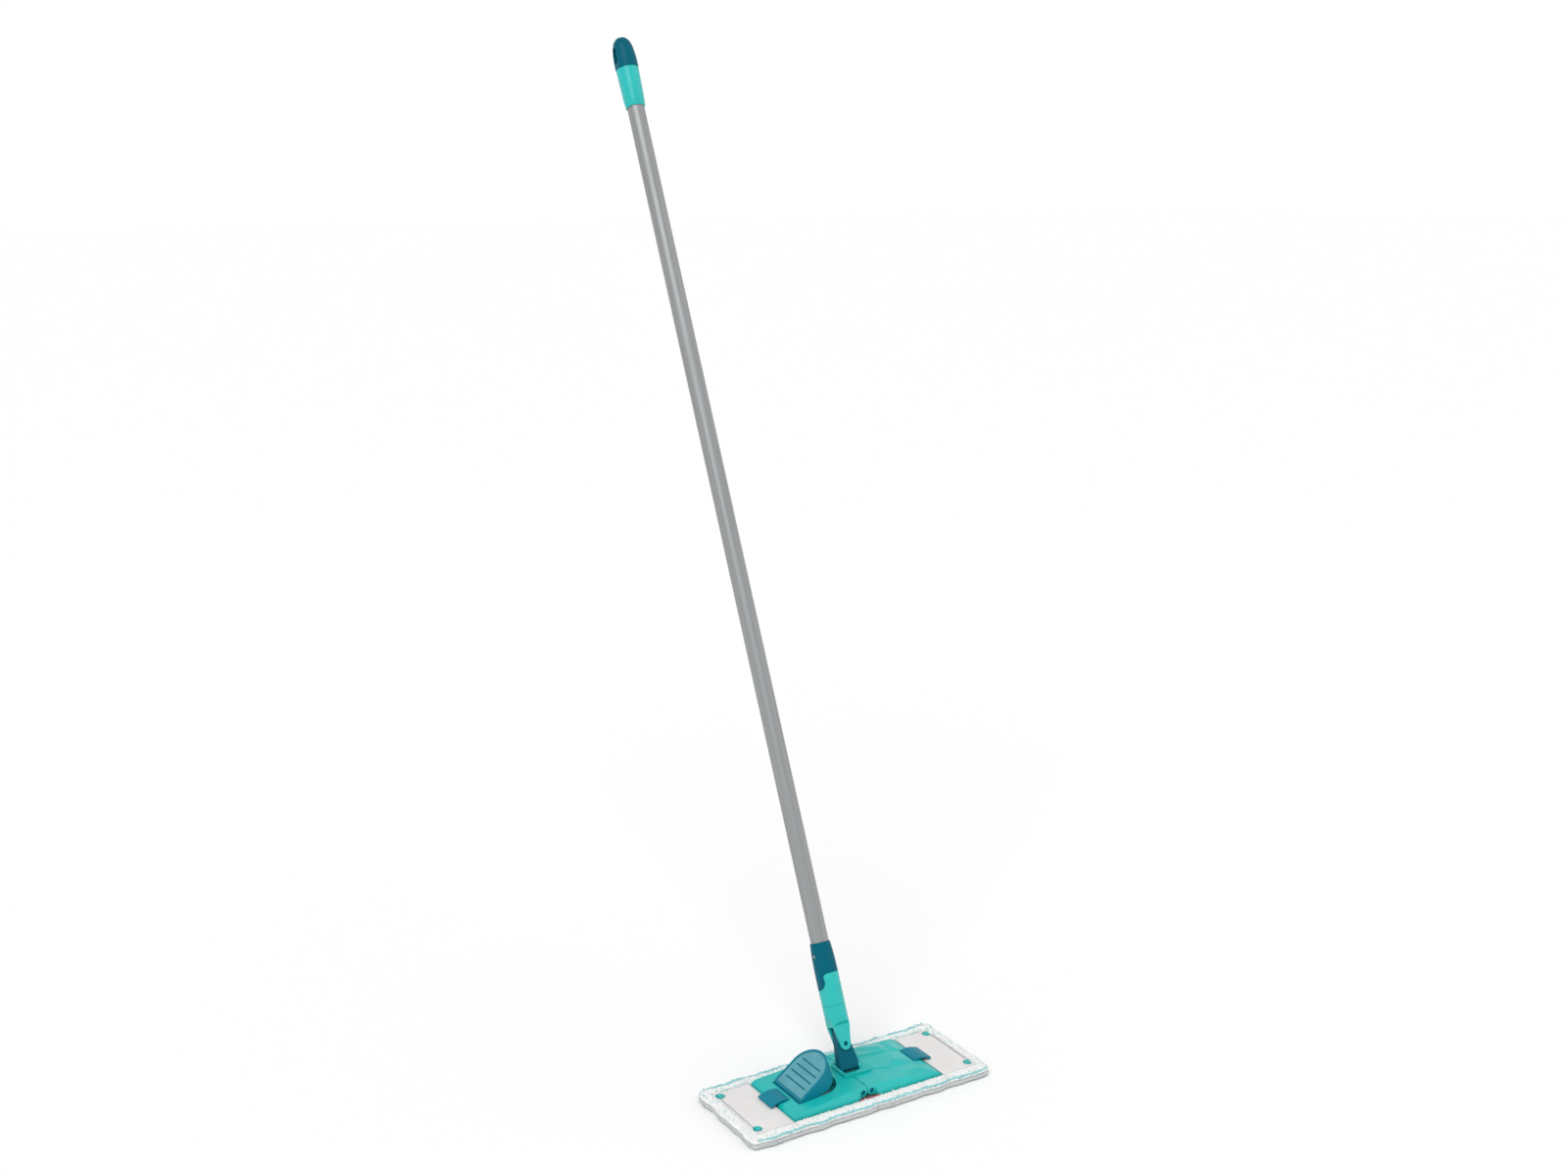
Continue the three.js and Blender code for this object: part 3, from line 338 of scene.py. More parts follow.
def cad_bmesh(node):
    """The CAD node's solid with its flat faces whole again instead of in triangles."""
    bm = bmesh.new()
    bm.from_mesh(frame["nodes"][node].data)
    bmesh.ops.remove_doubles(bm, verts=bm.verts, dist=0.002 * MM)
    bmesh.ops.dissolve_limit(
        bm, angle_limit=math.radians(1.0), verts=bm.verts, edges=bm.edges,
        use_dissolve_boundaries=False, delimit=set(),
    )
    return bm


def with_soft_edges(mesh, width, least_angle):
    """The mesh with its edges rounded over and its normals weighted to the flat faces."""
    holder = placed("softening", mesh)
    bevel = holder.modifiers.new("soft_edges", "BEVEL")
    bevel.width = width
    bevel.segments = 2
    bevel.limit_method = "ANGLE"
    bevel.angle_limit = math.radians(least_angle)
    bevel.use_clamp_overlap = True
    bevel.miter_outer = "MITER_ARC"
    weighted = holder.modifiers.new("weighted_normals", "WEIGHTED_NORMAL")
    weighted.weight = 60
    weighted.keep_sharp = True
    graph = bpy.context.evaluated_depsgraph_get()
    result = bpy.data.meshes.new_from_object(
        holder.evaluated_get(graph), preserve_all_data_layers=True, depsgraph=graph,
    )
    bpy.data.objects.remove(holder)
    return result


SHARP_ANGLE = 32


def finished_mesh(node, bm, width, least_angle):
    """The mesh of an edited copy of a CAD node, with soft edges and the node's own finish."""
    soft = with_soft_edges(mesh_of(f"{node}_mesh", bm), width, least_angle)
    soft.materials.clear()
    soft.materials.append(LOOKS[SLOT_OF[node]])
    return soft


def finished_copy(node, bm, width, least_angle):
    """Places a piece made from an edited copy of a CAD node, which it then stands for."""
    mesh = finished_mesh(node, bm, width, least_angle)
    piece = new_piece(f"{node}_moulding", BODY_OF[node], SLOT_OF[node], mesh)
    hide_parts(node)


def moulding(node, width, least_angle=SHARP_ANGLE):
    finished_copy(node, cad_bmesh(node), width, least_angle)


# ---------- pole, joint and small parts ----------
# How far edges are rounded, in millimetres.
EDGE_WIDTHS = {
    "grip_sleeve": 0.5, "grip_end_cap": 0.7, "click_sleeve": 0.35, "socket_collar": 0.3,
    "joint_fork": 0.6, "release_button": 0.4, "yoke": 0.8, "centre_bridge": 0.6,
    "pedal_body": 0.8, "pedal_tread": 0.35, "latch_bar": 0.3,
}
# The round faces of small parts turn in few steps, so only edges over this angle are rounded.
ROUND_ANGLE = 50
SMALL_EDGE = 0.25 * MM
WIRE_EDGE = 0.05 * MM
SMALL_ROUND_PARTS = [
    "pole_tube", "tilt_pin", "yoke_axle", "pedal_spring", "pedal_pin",
    "fold_pin_left_front", "fold_pin_left_back", "fold_pin_right_front", "fold_pin_right_back",
]


def half_name(side):
    return "left" if side < 0 else "right"


def make_mouldings():
    for node, width in EDGE_WIDTHS.items():
        moulding(node, width * MM)
    for node in SMALL_ROUND_PARTS:
        moulding(node, SMALL_EDGE, ROUND_ANGLE)


def make_button_spring():
    """The spring behind the release button."""
    node = "button_spring"
    piece = placed(f"{node}_moulding", finished_mesh(node, cad_bmesh(node), WIRE_EDGE, ROUND_ANGLE))
    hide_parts(node)
    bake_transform(piece)


# ---------- wings ----------
PLANE_START = 30 * MM
PLANE_END = 104 * MM
COVER_END_TOP = 19.8 * MM


def cover_height(x):
    """The height of the cover's top, flat in the middle and falling to its end."""
    share = (abs(x) - PLANE_START) / (PLANE_END - PLANE_START)
    return COVER_TOP - (COVER_TOP - COVER_END_TOP) * max(0.0, share)


# Facets in the right wing's top: x and y in millimetres, and a rise over the plain top that counts
# FACET_RISE millimetres for each 1. A pair of points STEP apart makes a small step.
STEP = 0.45
FACET_RISE = 2.3
RIGHT_FACETS = {
    "back_line_start_low": (36, 25.5 - STEP, 0.5), "back_line_start_high": (36, 25.5, 1.0),
    "back_base_left_low": (60, 21.6 - STEP, 0.6), "back_base_left_high": (60, 21.6, 1.3),
    "back_peak": (74, 36, 1.9), "back_base_right": (83, 20.5, 0.6),
    "star": (95, 20.6, 1.2), "star_back": (95.4, 48, 0.6), "star_inner": (85, 47, 0.3),
    "star_end": (103.5, 33, 0.3), "clip_corner": (97, 17.6, 0.5),
    "front_line_start_high": (36, -12, 0.5), "front_line_start_low": (36, -12 - STEP, 0.0),
    "front_side_left": (54, -17.6, 0.6), "front_side_left_low": (54, -17.6 - STEP, 0.0),
    "front_peak_left": (70.5, -3, 0.9), "front_peak": (74, -5.3, 1.7),
    "front_base_left": (60.5, -19.4, 0.0), "front_base_right": (86, -21.5, 0.0),
    "corner_inner": (70, -35, 0.25), "corner_mid": (93, -39.5, 0.7), "corner_low": (91, -49.5, 0.0),
    "corner_front": (71, -47.5, 0.1), "corner_end": (103.5, -30, 0.2),
}
RIGHT_FACET_LINES = [
    "back_line_start_low back_base_left_low back_base_right back_peak back_base_left_high",
    "back_base_left_high back_line_start_high", "back_base_right star star_back",
    "star_inner star star_end", "star clip_corner",
    "front_line_start_high front_side_left front_peak_left front_peak front_base_right front_base_left",
    "front_line_start_low front_side_left_low front_base_left front_peak",
    "corner_end corner_mid corner_inner corner_front corner_low corner_mid",
]
NEARLY_UP = 0.95
PLANE_LOOSE = 0.05 * MM
CREASE_ANGLE = math.radians(0.8)
WING_EDGE = 0.7 * MM
WING_ANGLE = 40


def top_faces(bm):
    """The faces of the right wing's top plane, which falls to its end."""
    found = []
    for face in bm.faces:
        centre = face.calc_center_median()
        sloping = face.normal.z > NEARLY_UP and centre.x > PLANE_START
        on_top = all(abs(v.co.z - cover_height(v.co.x)) < PLANE_LOOSE for v in face.verts)
        if sloping and on_top:
            found.append(face)
    return found


def resurface(bm, faces, points, lines):
    """Fills the place of `faces` with triangles that run along `lines`, each the names of its points."""
    edges = {e for f in faces for e in f.edges}
    chosen = set(faces)
    rim_edges = [e for e in edges if len([f for f in e.link_faces if f in chosen]) == 1]
    rim = list({v for e in rim_edges for v in e.verts})
    order = {v: i for i, v in enumerate(rim)}
    rim_lines = [(order[e.verts[0]], order[e.verts[1]]) for e in rim_edges]
    inner_only = [e for e in edges if e not in set(rim_edges)]
    bmesh.ops.delete(bm, geom=list(chosen), context="FACES_ONLY")
    bmesh.ops.delete(bm, geom=[e for e in inner_only if e.is_valid and not e.link_faces], context="EDGES")
    names = list(points)
    flat = [Vector((v.co.x, v.co.y)) for v in rim]
    flat += [Vector((points[n][0] * MM, points[n][1] * MM)) for n in names]
    index = {n: len(rim) + i for i, n in enumerate(names)}
    constraints = rim_lines
    for line in lines:
        stops = [index[name] for name in line.split()]
        constraints += zip(stops, stops[1:])
    where, _, triangles, origins, _, _ = delaunay_2d_cdt(flat, constraints, [], 1, SAME_PLACE)
    verts = []
    for place, source in zip(where, origins):
        from_rim = [i for i in source if i < len(rim)]
        if from_rim:
            verts.append(rim[from_rim[0]])
            continue
        rises = [points[names[i - len(rim)]][2] * FACET_RISE * MM for i in source]
        height = cover_height(place.x) + (rises[0] if rises else 0.0)
        verts.append(bm.verts.new((place.x, place.y, height)))
    made = set()
    for triangle in triangles:
        corners = [verts[i] for i in triangle]
        if len(set(corners)) == 3:
            made.add(bm.faces.new(corners))
    bmesh.ops.recalc_face_normals(bm, faces=bm.faces)
    for edge in {e for f in made for e in f.edges}:
        if edge.calc_face_angle(0.0) > CREASE_ANGLE:
            edge.smooth = False


def make_wings():
    moulding("wing_left", WING_EDGE, WING_ANGLE)
    bm = cad_bmesh("wing_right")
    resurface(bm, top_faces(bm), RIGHT_FACETS, RIGHT_FACET_LINES)
    finished_copy("wing_right", bm, WING_EDGE, WING_ANGLE)


# ---------- clips ----------
# The right clip's section, x and z in millimetres: its hinge barrel, its blade and its rolled lip.
CLIP_PIVOT = (101.5, 19.6)
CLIP_PIVOT_RADIUS = 2.0
CLIP_LINE = [(103.5, 20.6), (107.5, 21.2), (112, 21.2), (116.5, 20.6), (120.5, 19.6), (124, 18.2)]
CLIP_HALF_THICKNESS = 1.1
CLIP_ROLL = (126.1, 17.0)
CLIP_ROLL_RADIUS = 2.2
CLIP_HALF_WIDTH = 16.5
CLIP_EDGE = 0.5 * MM


def offset_line(points, distance):
    """The points moved to the left of their line's direction by `distance`."""
    moved = []
    for i, (x, z) in enumerate(points):
        ax, az = points[max(0, i - 1)]
        bx, bz = points[min(len(points) - 1, i + 1)]
        length = math.hypot(bx - ax, bz - az)
        moved.append((x - (bz - az) / length * distance, z + (bx - ax) / length * distance))
    return moved


def make_clip(side):
    """A spring clip: a bowed blade from its hinge barrel to the rolled lip at its outer end."""
    section = arc(CLIP_PIVOT, CLIP_PIVOT_RADIUS, 300, 80, 8)
    section += offset_line(CLIP_LINE, CLIP_HALF_THICKNESS)
    section += arc(CLIP_ROLL, CLIP_ROLL_RADIUS, 60, -160, 10)
    section += reversed(offset_line(CLIP_LINE[:-1], -CLIP_HALF_THICKNESS))
    ends = [[(side * x * MM, y * MM, z * MM) for x, z in section]
            for y in (-CLIP_HALF_WIDTH, CLIP_HALF_WIDTH)]
    finished_copy(f"clip_{half_name(side)}", lofted([ends]), CLIP_EDGE, ROUND_ANGLE)


# ---------- mop cover ----------
def seeded(offset):
    return np.random.default_rng(SEED + offset)


TUFT_SIDES = 3
TUFT_WIDTHS = (0.9, 1.0, 0.7)
TUFT_BEND = (0.15, 0.5)


def tuft_mesh(name, roots, directions, lengths, radii, aqua, rng, plain="pile"):
    """Short bent yarn ends, all in one mesh: plain ones, and aqua ones in a second slot."""
    count = len(roots)
    directions = directions / np.linalg.norm(directions, axis=1, keepdims=True)
    helper = rng.normal(size=(count, 3))
    side = np.cross(directions, helper)
    side /= np.linalg.norm(side, axis=1, keepdims=True)
    other = np.cross(directions, side)
    bend = rng.uniform(*TUFT_BEND, size=(count, 1)) * lengths[:, None]
    last = len(TUFT_WIDTHS) - 1
    rings = []
    for ring, share_of_width in enumerate(TUFT_WIDTHS):
        share = ring / last
        centre = roots + directions * (lengths[:, None] * share) + side * (bend * share ** 2)
        width = radii[:, None] * share_of_width
        for corner in range(TUFT_SIDES):
            angle = 2 * math.pi * corner / TUFT_SIDES
            rings.append(centre + width * (side * math.cos(angle) + other * math.sin(angle)))
    points = np.stack(rings, axis=1).reshape(-1, 3)
    size = TUFT_SIDES * len(TUFT_WIDTHS)
    pattern = [(2, 1, 0)]
    for ring in range(last):
        for corner in range(TUFT_SIDES):
            after = (corner + 1) % TUFT_SIDES
            low, high = ring * TUFT_SIDES, (ring + 1) * TUFT_SIDES
            pattern.append((low + corner, low + after, high + after))
            pattern.append((low + corner, high + after, high + corner))
    pattern.append((size - 3, size - 2, size - 1))
    pattern = np.array(pattern)
    faces = (pattern[None] + (np.arange(count) * size)[:, None, None]).reshape(-1, 3)
    mesh = bpy.data.meshes.new(name)
    mesh.vertices.add(len(points))
    mesh.vertices.foreach_set("co", points.ravel())
    mesh.loops.add(faces.size)
    mesh.loops.foreach_set("vertex_index", faces.ravel())
    mesh.polygons.add(len(faces))
    mesh.polygons.foreach_set("loop_start", np.arange(0, faces.size, 3))
    mesh.polygons.foreach_set("material_index", np.repeat(aqua.astype(int), len(pattern)))
    mesh.polygons.foreach_set("use_smooth", np.ones(len(faces), bool))
    mesh.update(calc_edges=True)
    mesh.materials.append(LOOKS[plain])
    mesh.materials.append(LOOKS["aqua_pile"])
    return mesh


# Patches of aqua yarn: how fast they change along the head and across it, in radians to the metre,
# how far their lines bend, in radians, and how much the aqua share swings.
PATCH_ALONG = 95
PATCH_ACROSS = 130
PATCH_BEND = 3
PATCH_BEND_ACROSS = 60
PATCH_SWING = 0.9
SOLE_AQUA, SIDE_AQUA, END_AQUA = 0.06, 0.24, 0.26
AQUA_TO_THE_BACK = 1.1


def flecked(places, rng, share):
    """Which tufts are aqua: more in some patches than in others, and more at the back than in front."""
    bend = PATCH_BEND * np.sin(places[:, 1] * PATCH_BEND_ACROSS)
    patch = np.sin(places[:, 0] * PATCH_ALONG + bend) * np.cos(places[:, 1] * PATCH_ACROSS)
    to_the_back = np.exp(AQUA_TO_THE_BACK * places[:, 1] / HEAD_SIDE)
    return rng.random(len(places)) < share * to_the_back * (1.0 + PATCH_SWING * patch)


def scattered(low, high, spacing, rng):
    """Points in a rectangle, one in each cell of a loose grid."""
    (x0, y0), (x1, y1) = low, high
    across = max(1, int(round((x1 - x0) / spacing)))
    along = max(1, int(round((y1 - y0) / spacing)))
    xs, ys = np.meshgrid(np.arange(across), np.arange(along))
    cells = np.stack([xs.ravel(), ys.ravel()], axis=1) + rng.uniform(0.1, 0.9, (across * along, 2))
    return np.array([x0, y0]) + cells * [(x1 - x0) / across, (y1 - y0) / along]


BORDER_INNER = 57.6 * MM
END_BORDER_INNER = 172 * MM
CORNER_RADIUS = 7 * MM
CORNER_STEPS = 6


def head_outline(start):
    """The head's outline outward from x = start, anticlockwise, with its two rounded corners."""
    centre_x = HEAD_END - CORNER_RADIUS
    centre_y = HEAD_SIDE - CORNER_RADIUS
    front = arc((centre_x, -centre_y), CORNER_RADIUS, -90, 0, CORNER_STEPS)
    back = arc((centre_x, centre_y), CORNER_RADIUS, 0, 90, CORNER_STEPS)
    return [(start, -HEAD_SIDE)] + front + back + [(start, HEAD_SIDE)]


def resampled(points, spacing):
    """A closed outline with points about `spacing` apart on its straight stretches."""
    result = []
    for (ax, ay), (bx, by) in zip(points, points[1:] + points[:1]):
        pieces = max(1, int(math.hypot(bx - ax, by - ay) / spacing))
        for i in range(pieces):
            result.append((ax + (bx - ax) * i / pieces, ay + (by - ay) * i / pieces))
    return result


def resampled_open(points, spacing):
    """The same for an outline that isn't closed."""
    closed = resampled(points, spacing)
    return closed[:closed.index(points[-1]) + 1]


def mirrored(mesh):
    mesh.transform(Matrix.Scale(-1, 4, (1, 0, 0)))
    mesh.flip_normals()
    return mesh


def points_of(mesh):
    """The mesh's points, in rows of x, y and z."""
    points = np.empty(len(mesh.vertices) * 3)
    mesh.vertices.foreach_get("co", points)
    return points.reshape(-1, 3)


def move_points(mesh, points):
    mesh.vertices.foreach_set("co", points.ravel())
    mesh.update()


WAVE_START = 9 * MM
WAVE_MOST = 1.2
WAVE_LIFT = 0.45
# Each wave's height, its radians to the metre along the edge, and the angle that it starts at.
WAVES = [(0.8 * MM, 103, 0.0), (0.7 * MM, 171, 1.0)]
# How far along the waves one side of the head, or one end, is from the middle line.
SIDE_SHIFT = 0.02
END_SHIFT = 0.05
# The waves that lift the pile run aslant: their share of x, their share of y, and where they start.
LIFT_SLANT = (0.8, 0.9, 0.3)


def wave(along):
    """How far the cover's edge stands out or sinks in, along its length."""
    return sum(height * np.sin(along * turn + start) for height, turn, start in WAVES)


def waved(mesh):
    """Lets the cover's outer edges run in slow waves, as soft pile does."""
    points = points_of(mesh)
    x, y = points[:, 0].copy(), points[:, 1].copy()
    near_side = np.clip((np.abs(y) - HEAD_SIDE + WAVE_START) / WAVE_START, 0, WAVE_MOST)
    near_end = np.clip((np.abs(x) - HEAD_END + WAVE_START) / WAVE_START, 0, WAVE_MOST)
    points[:, 1] += np.sign(y) * near_side * wave(x + SIDE_SHIFT * np.sign(y))
    points[:, 0] += np.sign(x) * near_end * wave(y + END_SHIFT * np.sign(x))
    lift = np.clip((points[:, 2] - SOLE_TOP) / (BORDER_TOP - SOLE_TOP), 0, 1)
    slanting = wave(x * LIFT_SLANT[0] + y * LIFT_SLANT[1] + LIFT_SLANT[2])
    points[:, 2] += WAVE_LIFT * lift * np.maximum(near_side, near_end) * slanting
    move_points(mesh, points)


# Where each half of the sole starts, outward from the middle of the head. The left one reaches past it.
SOLE_START = {-1: -2.4 * MM, 1: 2.9 * MM}
SOLE_SPACING = 6 * MM
SOLE_WOBBLE = 0.15 * MM
# Rings round the sole from its underside up: how far in from the outline, and how high.
SOLE_RINGS = [
    (3.0 * MM, 1.2 * MM), (0.8 * MM, 2.2 * MM), (0.2 * MM, 4.5 * MM), (0.6 * MM, 7.2 * MM),
    (2.0 * MM, SOLE_TOP - 0.4 * MM),
]


def sole_mesh(name, outline, rng):
    """A closed soft slab inside an outline, a little uneven."""
    outline = np.array(resampled(outline, SOLE_SPACING))
    ahead = np.roll(outline, -1, axis=0) - np.roll(outline, 1, axis=0)
    inward = np.stack([-ahead[:, 1], ahead[:, 0]], axis=1)
    inward /= np.linalg.norm(inward, axis=1, keepdims=True)
    count = len(outline)
    rings = []
    for inset, height in SOLE_RINGS:
        wobble = rng.normal(0, SOLE_WOBBLE, (count, 3))
        rings.append(np.column_stack([outline + inward * inset, np.full(count, height)]) + wobble)
    bm = lofted([rings])
    bmesh.ops.triangulate(bm, faces=[f for f in bm.faces if len(f.verts) > 4])
    return mesh_of(name, bm)


def make_sole(side):
    """One half of the sole."""
    name = half_name(side)
    mesh = sole_mesh(f"sole_{name}", head_outline(SOLE_START[side]), seeded(11))
    if side < 0:
        mirrored(mesh)
    waved(mesh)
    # The sole takes the greyer yarn of painted shade.
    mesh.materials.append(LOOKS["shaded_sole_pile"])
    piece = placed(f"sole_{name}", mesh)
    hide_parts(f"pad_{name}")
    hang(piece)


def hang(piece):
    """Bakes a piece of the sole's place into its mesh."""
    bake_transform(piece)


# Margins keep the tufts' roots inside the pile that they grow from.
UNDER_SPACING = 5.2 * MM
UNDER_HEIGHT = 2.6 * MM
UNDER_MARGIN = 3 * MM
TUFT_SPACING = 2.25 * MM
TUFT_MARGIN = 1 * MM
OUTER_MARGIN = 2 * MM
CORNER_MARGIN = 4 * MM
SOLE_WALL = (2.2 * MM, SOLE_TOP)
SOLE_WALL_DEPTH = 2.2 * MM
# Lengths and radii of yarn ends, in millimetres.
SOLE_TUFT_LENGTH = (1.8, 2.8)
SOLE_TUFT_RADIUS = (0.9, 1.4)
BORDER_TUFT_LENGTH = (1.6, 2.5)
BORDER_TUFT_RADIUS = (0.75, 1.15)
# How far the ways of tufts spread, and how far they point outward, up and down.
UNDER_SPREAD, UNDER_DOWN = 1.0, -0.45
EDGE_SPREAD, EDGE_DOWN = 0.55, -0.35
TOP_SPREAD, TOP_OUT, TOP_UP = 0.9, 0.4, (0.05, 0.35)
WALL_SPREAD, WALL_OUT, WALL_DOWN = 0.8, 0.9, -0.2


def sole_tufts(side):
    """Yarn ends round the sole's edge and all over its underside."""
    name = half_name(side)
    rng = seeded(23)
    start = SOLE_START[side]
    under = scattered((start + OUTER_MARGIN, -HEAD_SIDE + UNDER_MARGIN),
                      (HEAD_END - UNDER_MARGIN, HEAD_SIDE - UNDER_MARGIN), UNDER_SPACING, rng)
    count = len(under)
    roots = [np.column_stack([under, np.full(count, UNDER_HEIGHT)])]
    ways = [np.column_stack([rng.normal(0, UNDER_SPREAD, (count, 2)), np.full(count, UNDER_DOWN)])]
    for first, last, axis, sign in edge_strips(start):
        places = scattered((first, SOLE_WALL[0]), (last, SOLE_WALL[1]), TUFT_SPACING, rng)
        roots.append(edge_points(places, axis, sign))
        out = np.zeros((len(places), 3))
        out[:, axis] = sign
        ways.append(out + rng.normal(0, EDGE_SPREAD, (len(places), 3)) + [0, 0, EDGE_DOWN])
    roots = np.concatenate(roots)
    ways = np.concatenate(ways)
    total = len(roots)
    lengths = rng.uniform(*SOLE_TUFT_LENGTH, total) * MM
    radii = rng.uniform(*SOLE_TUFT_RADIUS, total) * MM
    aqua = flecked(roots, rng, SOLE_AQUA)
    # The sole's tufts take the greyer yarn of painted shade.
    mesh = tuft_mesh(f"sole_tufts_{name}", roots, ways, lengths, radii, aqua, rng, "shaded_sole_pile")
    settle(mesh)
    if side < 0:
        mirrored(mesh)
    waved(mesh)
    piece = placed(f"sole_tufts_{name}", mesh)
    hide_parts(f"pad_{name}")
    hang(piece)


def edge_strips(start):
    """Strips (first, last, axis, sign) for the sole's front, back and end walls."""
    side = (start + TUFT_MARGIN, HEAD_END - CORNER_MARGIN)
    end = (-HEAD_SIDE + CORNER_MARGIN, HEAD_SIDE - CORNER_MARGIN)
    return [side + (1, -1), side + (1, 1), end + (0, 1)]


def edge_points(places, axis, sign):
    """Points on a wall: places hold the distance along it and the height."""
    points = np.zeros((len(places), 3))
    points[:, 1 - axis] = places[:, 0]
    points[:, axis] = sign * ((HEAD_SIDE if axis == 1 else HEAD_END) - SOLE_WALL_DEPTH)
    points[:, 2] = places[:, 1]
    return points


FLOOR_PLAY = 0.1 * MM
PILE_PAST_HEAD = 2 * MM


def settle(mesh):
    """Presses whatever is too low up to the floor and whatever sticks out back to the outline."""
    points = points_of(mesh)
    points[:, 2] = np.maximum(points[:, 2], FLOOR_PLAY)
    points[:, 0] = np.minimum(points[:, 0], HEAD_END + PILE_PAST_HEAD)
    points[:, 1] = np.clip(points[:, 1], -HEAD_SIDE - PILE_PAST_HEAD, HEAD_SIDE + PILE_PAST_HEAD)
    move_points(mesh, points)


BORDER_SPACING = 5 * MM
BORDER_WOBBLE = 0.2 * MM
# A border's section from its inner foot to its outer one: the share of its width, and the height in
# millimetres. The feet stay where they are, and the rest is a little uneven.
SIDE_SECTION = [(0.0, 9.0), (0.02, 12.4), (0.12, 14.0), (0.35, 14.8), (0.6, 14.7), (0.85, 13.6),
                (0.97, 11.6), (1.0, 9.0)]
# The same for the border round a pocket, from its outer foot to its inner one.
END_SECTION = [(0.0, 9.4), (0.0, 11.6), (0.15, 13.6), (0.4, 14.7), (0.65, 14.8), (0.88, 14.0),
               (1.0, 12.4), (1.0, 9.4)]


def border_mesh(name, x0, x1, rng):
    """The raised front and back borders between x0 and x1, each a soft rounded strip."""
    steps = max(2, int((x1 - x0) / BORDER_SPACING))
    foot = SIDE_SECTION[0][1]
    strips = []
    for sign in (-1, 1):
        rows = []
        for i in range(steps + 1):
            x = x0 + (x1 - x0) * i / steps
            row = []
            for share, height in SIDE_SECTION:
                wobble = rng.normal(0, BORDER_WOBBLE, 2)
                y = BORDER_INNER + (HEAD_SIDE - BORDER_INNER) * share + (wobble[0] if 0 < share < 1 else 0)
                row.append((x, sign * y, height * MM + (wobble[1] if height > foot else 0)))
            rows.append(row)
        strips.append(rows)
    return mesh_of(name, lofted(strips))


def end_border_mesh(name, rng):
    """The border round three sides of a pocket: in front, across the end and behind."""
    foot = END_SECTION[0][1]
    rows = []
    for x, y in resampled_open(head_outline(POCKET_START), BORDER_SPACING):
        inner_x = min(x, END_BORDER_INNER)
        inner_y = max(-BORDER_INNER, min(BORDER_INNER, y))
        row = []
        for share, height in END_SECTION:
            wobble = rng.normal(0, BORDER_WOBBLE) if height > foot else 0.0
            row.append((x + (inner_x - x) * share, y + (inner_y - y) * share, height * MM + wobble))
        rows.append(row)
    return mesh_of(name, lofted([rows]))


WALL_LOW = 9.0 * MM
WALL_HIGH = 12.6 * MM
WALL_DEPTH = 1.6 * MM
TOP_DEPTH = 1.1 * MM
INNER_MARGIN = 1.5 * MM
# The tops of the borders fall by ROUND_DROP over the outer part of their width, from ROUND_START on.
ROUND_DROP = 2.0 * MM
ROUND_START = 0.7


def root_height(share):
    """The height of roots on a border's top, at a share of its width from the inner edge."""
    return BORDER_TOP - TOP_DEPTH - ROUND_DROP * np.maximum(0, share - ROUND_START) / (1 - ROUND_START)


def top_ways(count, out_x, out_y, rng):
    """Ways of tufts that lie on a border's top, most of them a little outward."""
    lean = rng.normal(0, TOP_SPREAD, (count, 2)) + [TOP_OUT * out_x, TOP_OUT * out_y]
    return np.column_stack([lean, rng.uniform(*TOP_UP, count)])


def wall_ways(count, out_x, out_y, rng):
    """Ways of tufts on a border's outer wall: outward, and a little down."""
    return rng.normal(0, WALL_SPREAD, (count, 3)) + [WALL_OUT * out_x, WALL_OUT * out_y, WALL_DOWN]


def strip_tufts(x0, x1, rng):
    """Tuft roots and ways over the front and back borders between x0 and x1."""
    first, last = x0 + TUFT_MARGIN, x1 - TUFT_MARGIN
    roots, ways = [], []
    for sign in (-1, 1):
        top = scattered((first, BORDER_INNER + INNER_MARGIN), (last, HEAD_SIDE - OUTER_MARGIN),
                        TUFT_SPACING, rng)
        height = root_height((top[:, 1] - BORDER_INNER) / (HEAD_SIDE - BORDER_INNER))
        roots.append(np.column_stack([top[:, 0], sign * top[:, 1], height]))
        ways.append(top_ways(len(top), 0, sign, rng))
        wall = scattered((first, WALL_LOW), (last, WALL_HIGH), TUFT_SPACING, rng)
        depth = np.full(len(wall), sign * (HEAD_SIDE - WALL_DEPTH))
        roots.append(np.column_stack([wall[:, 0], depth, wall[:, 1]]))
        ways.append(wall_ways(len(wall), 0, sign, rng))
    return np.concatenate(roots), np.concatenate(ways)


def end_tufts(rng):
    """Tuft roots and ways over the border across the head's end."""
    top = scattered((END_BORDER_INNER + TUFT_MARGIN, -HEAD_SIDE + OUTER_MARGIN),
                    (HEAD_END - OUTER_MARGIN, HEAD_SIDE - OUTER_MARGIN), TUFT_SPACING, rng)
    height = root_height((top[:, 0] - END_BORDER_INNER) / (HEAD_END - END_BORDER_INNER))
    roots = [np.column_stack([top, height])]
    ways = [top_ways(len(top), 1, 0, rng)]
    side = HEAD_SIDE - CORNER_MARGIN
    wall = scattered((-side, WALL_LOW), (side, WALL_HIGH), TUFT_SPACING, rng)
    roots.append(np.column_stack([np.full(len(wall), HEAD_END - WALL_DEPTH), wall]))
    ways.append(wall_ways(len(wall), 1, 0, rng))
    return np.concatenate(roots), np.concatenate(ways)


# The row of aqua yarn along the upper outer edge of the front and back borders.
STRIPE_RADIUS = 1.2 * MM
STRIPE_HEIGHT = 12.9 * MM
STRIPE_DEPTH = 0.9 * MM
STRIPE_SIDES = 7
STRIPE_SPACING = 2 * MM
STRIPE_TUFT_SPACING = 1.3 * MM
STRIPE_TUFT_HEIGHT = 13.2 * MM
STRIPE_TUFT_DEPTH = 1.0 * MM
STRIPE_TUFT_RADIUS = 1.0 * MM
STRIPE_TUFT_STRETCH = 1.5
STRIPE_END = 6 * MM


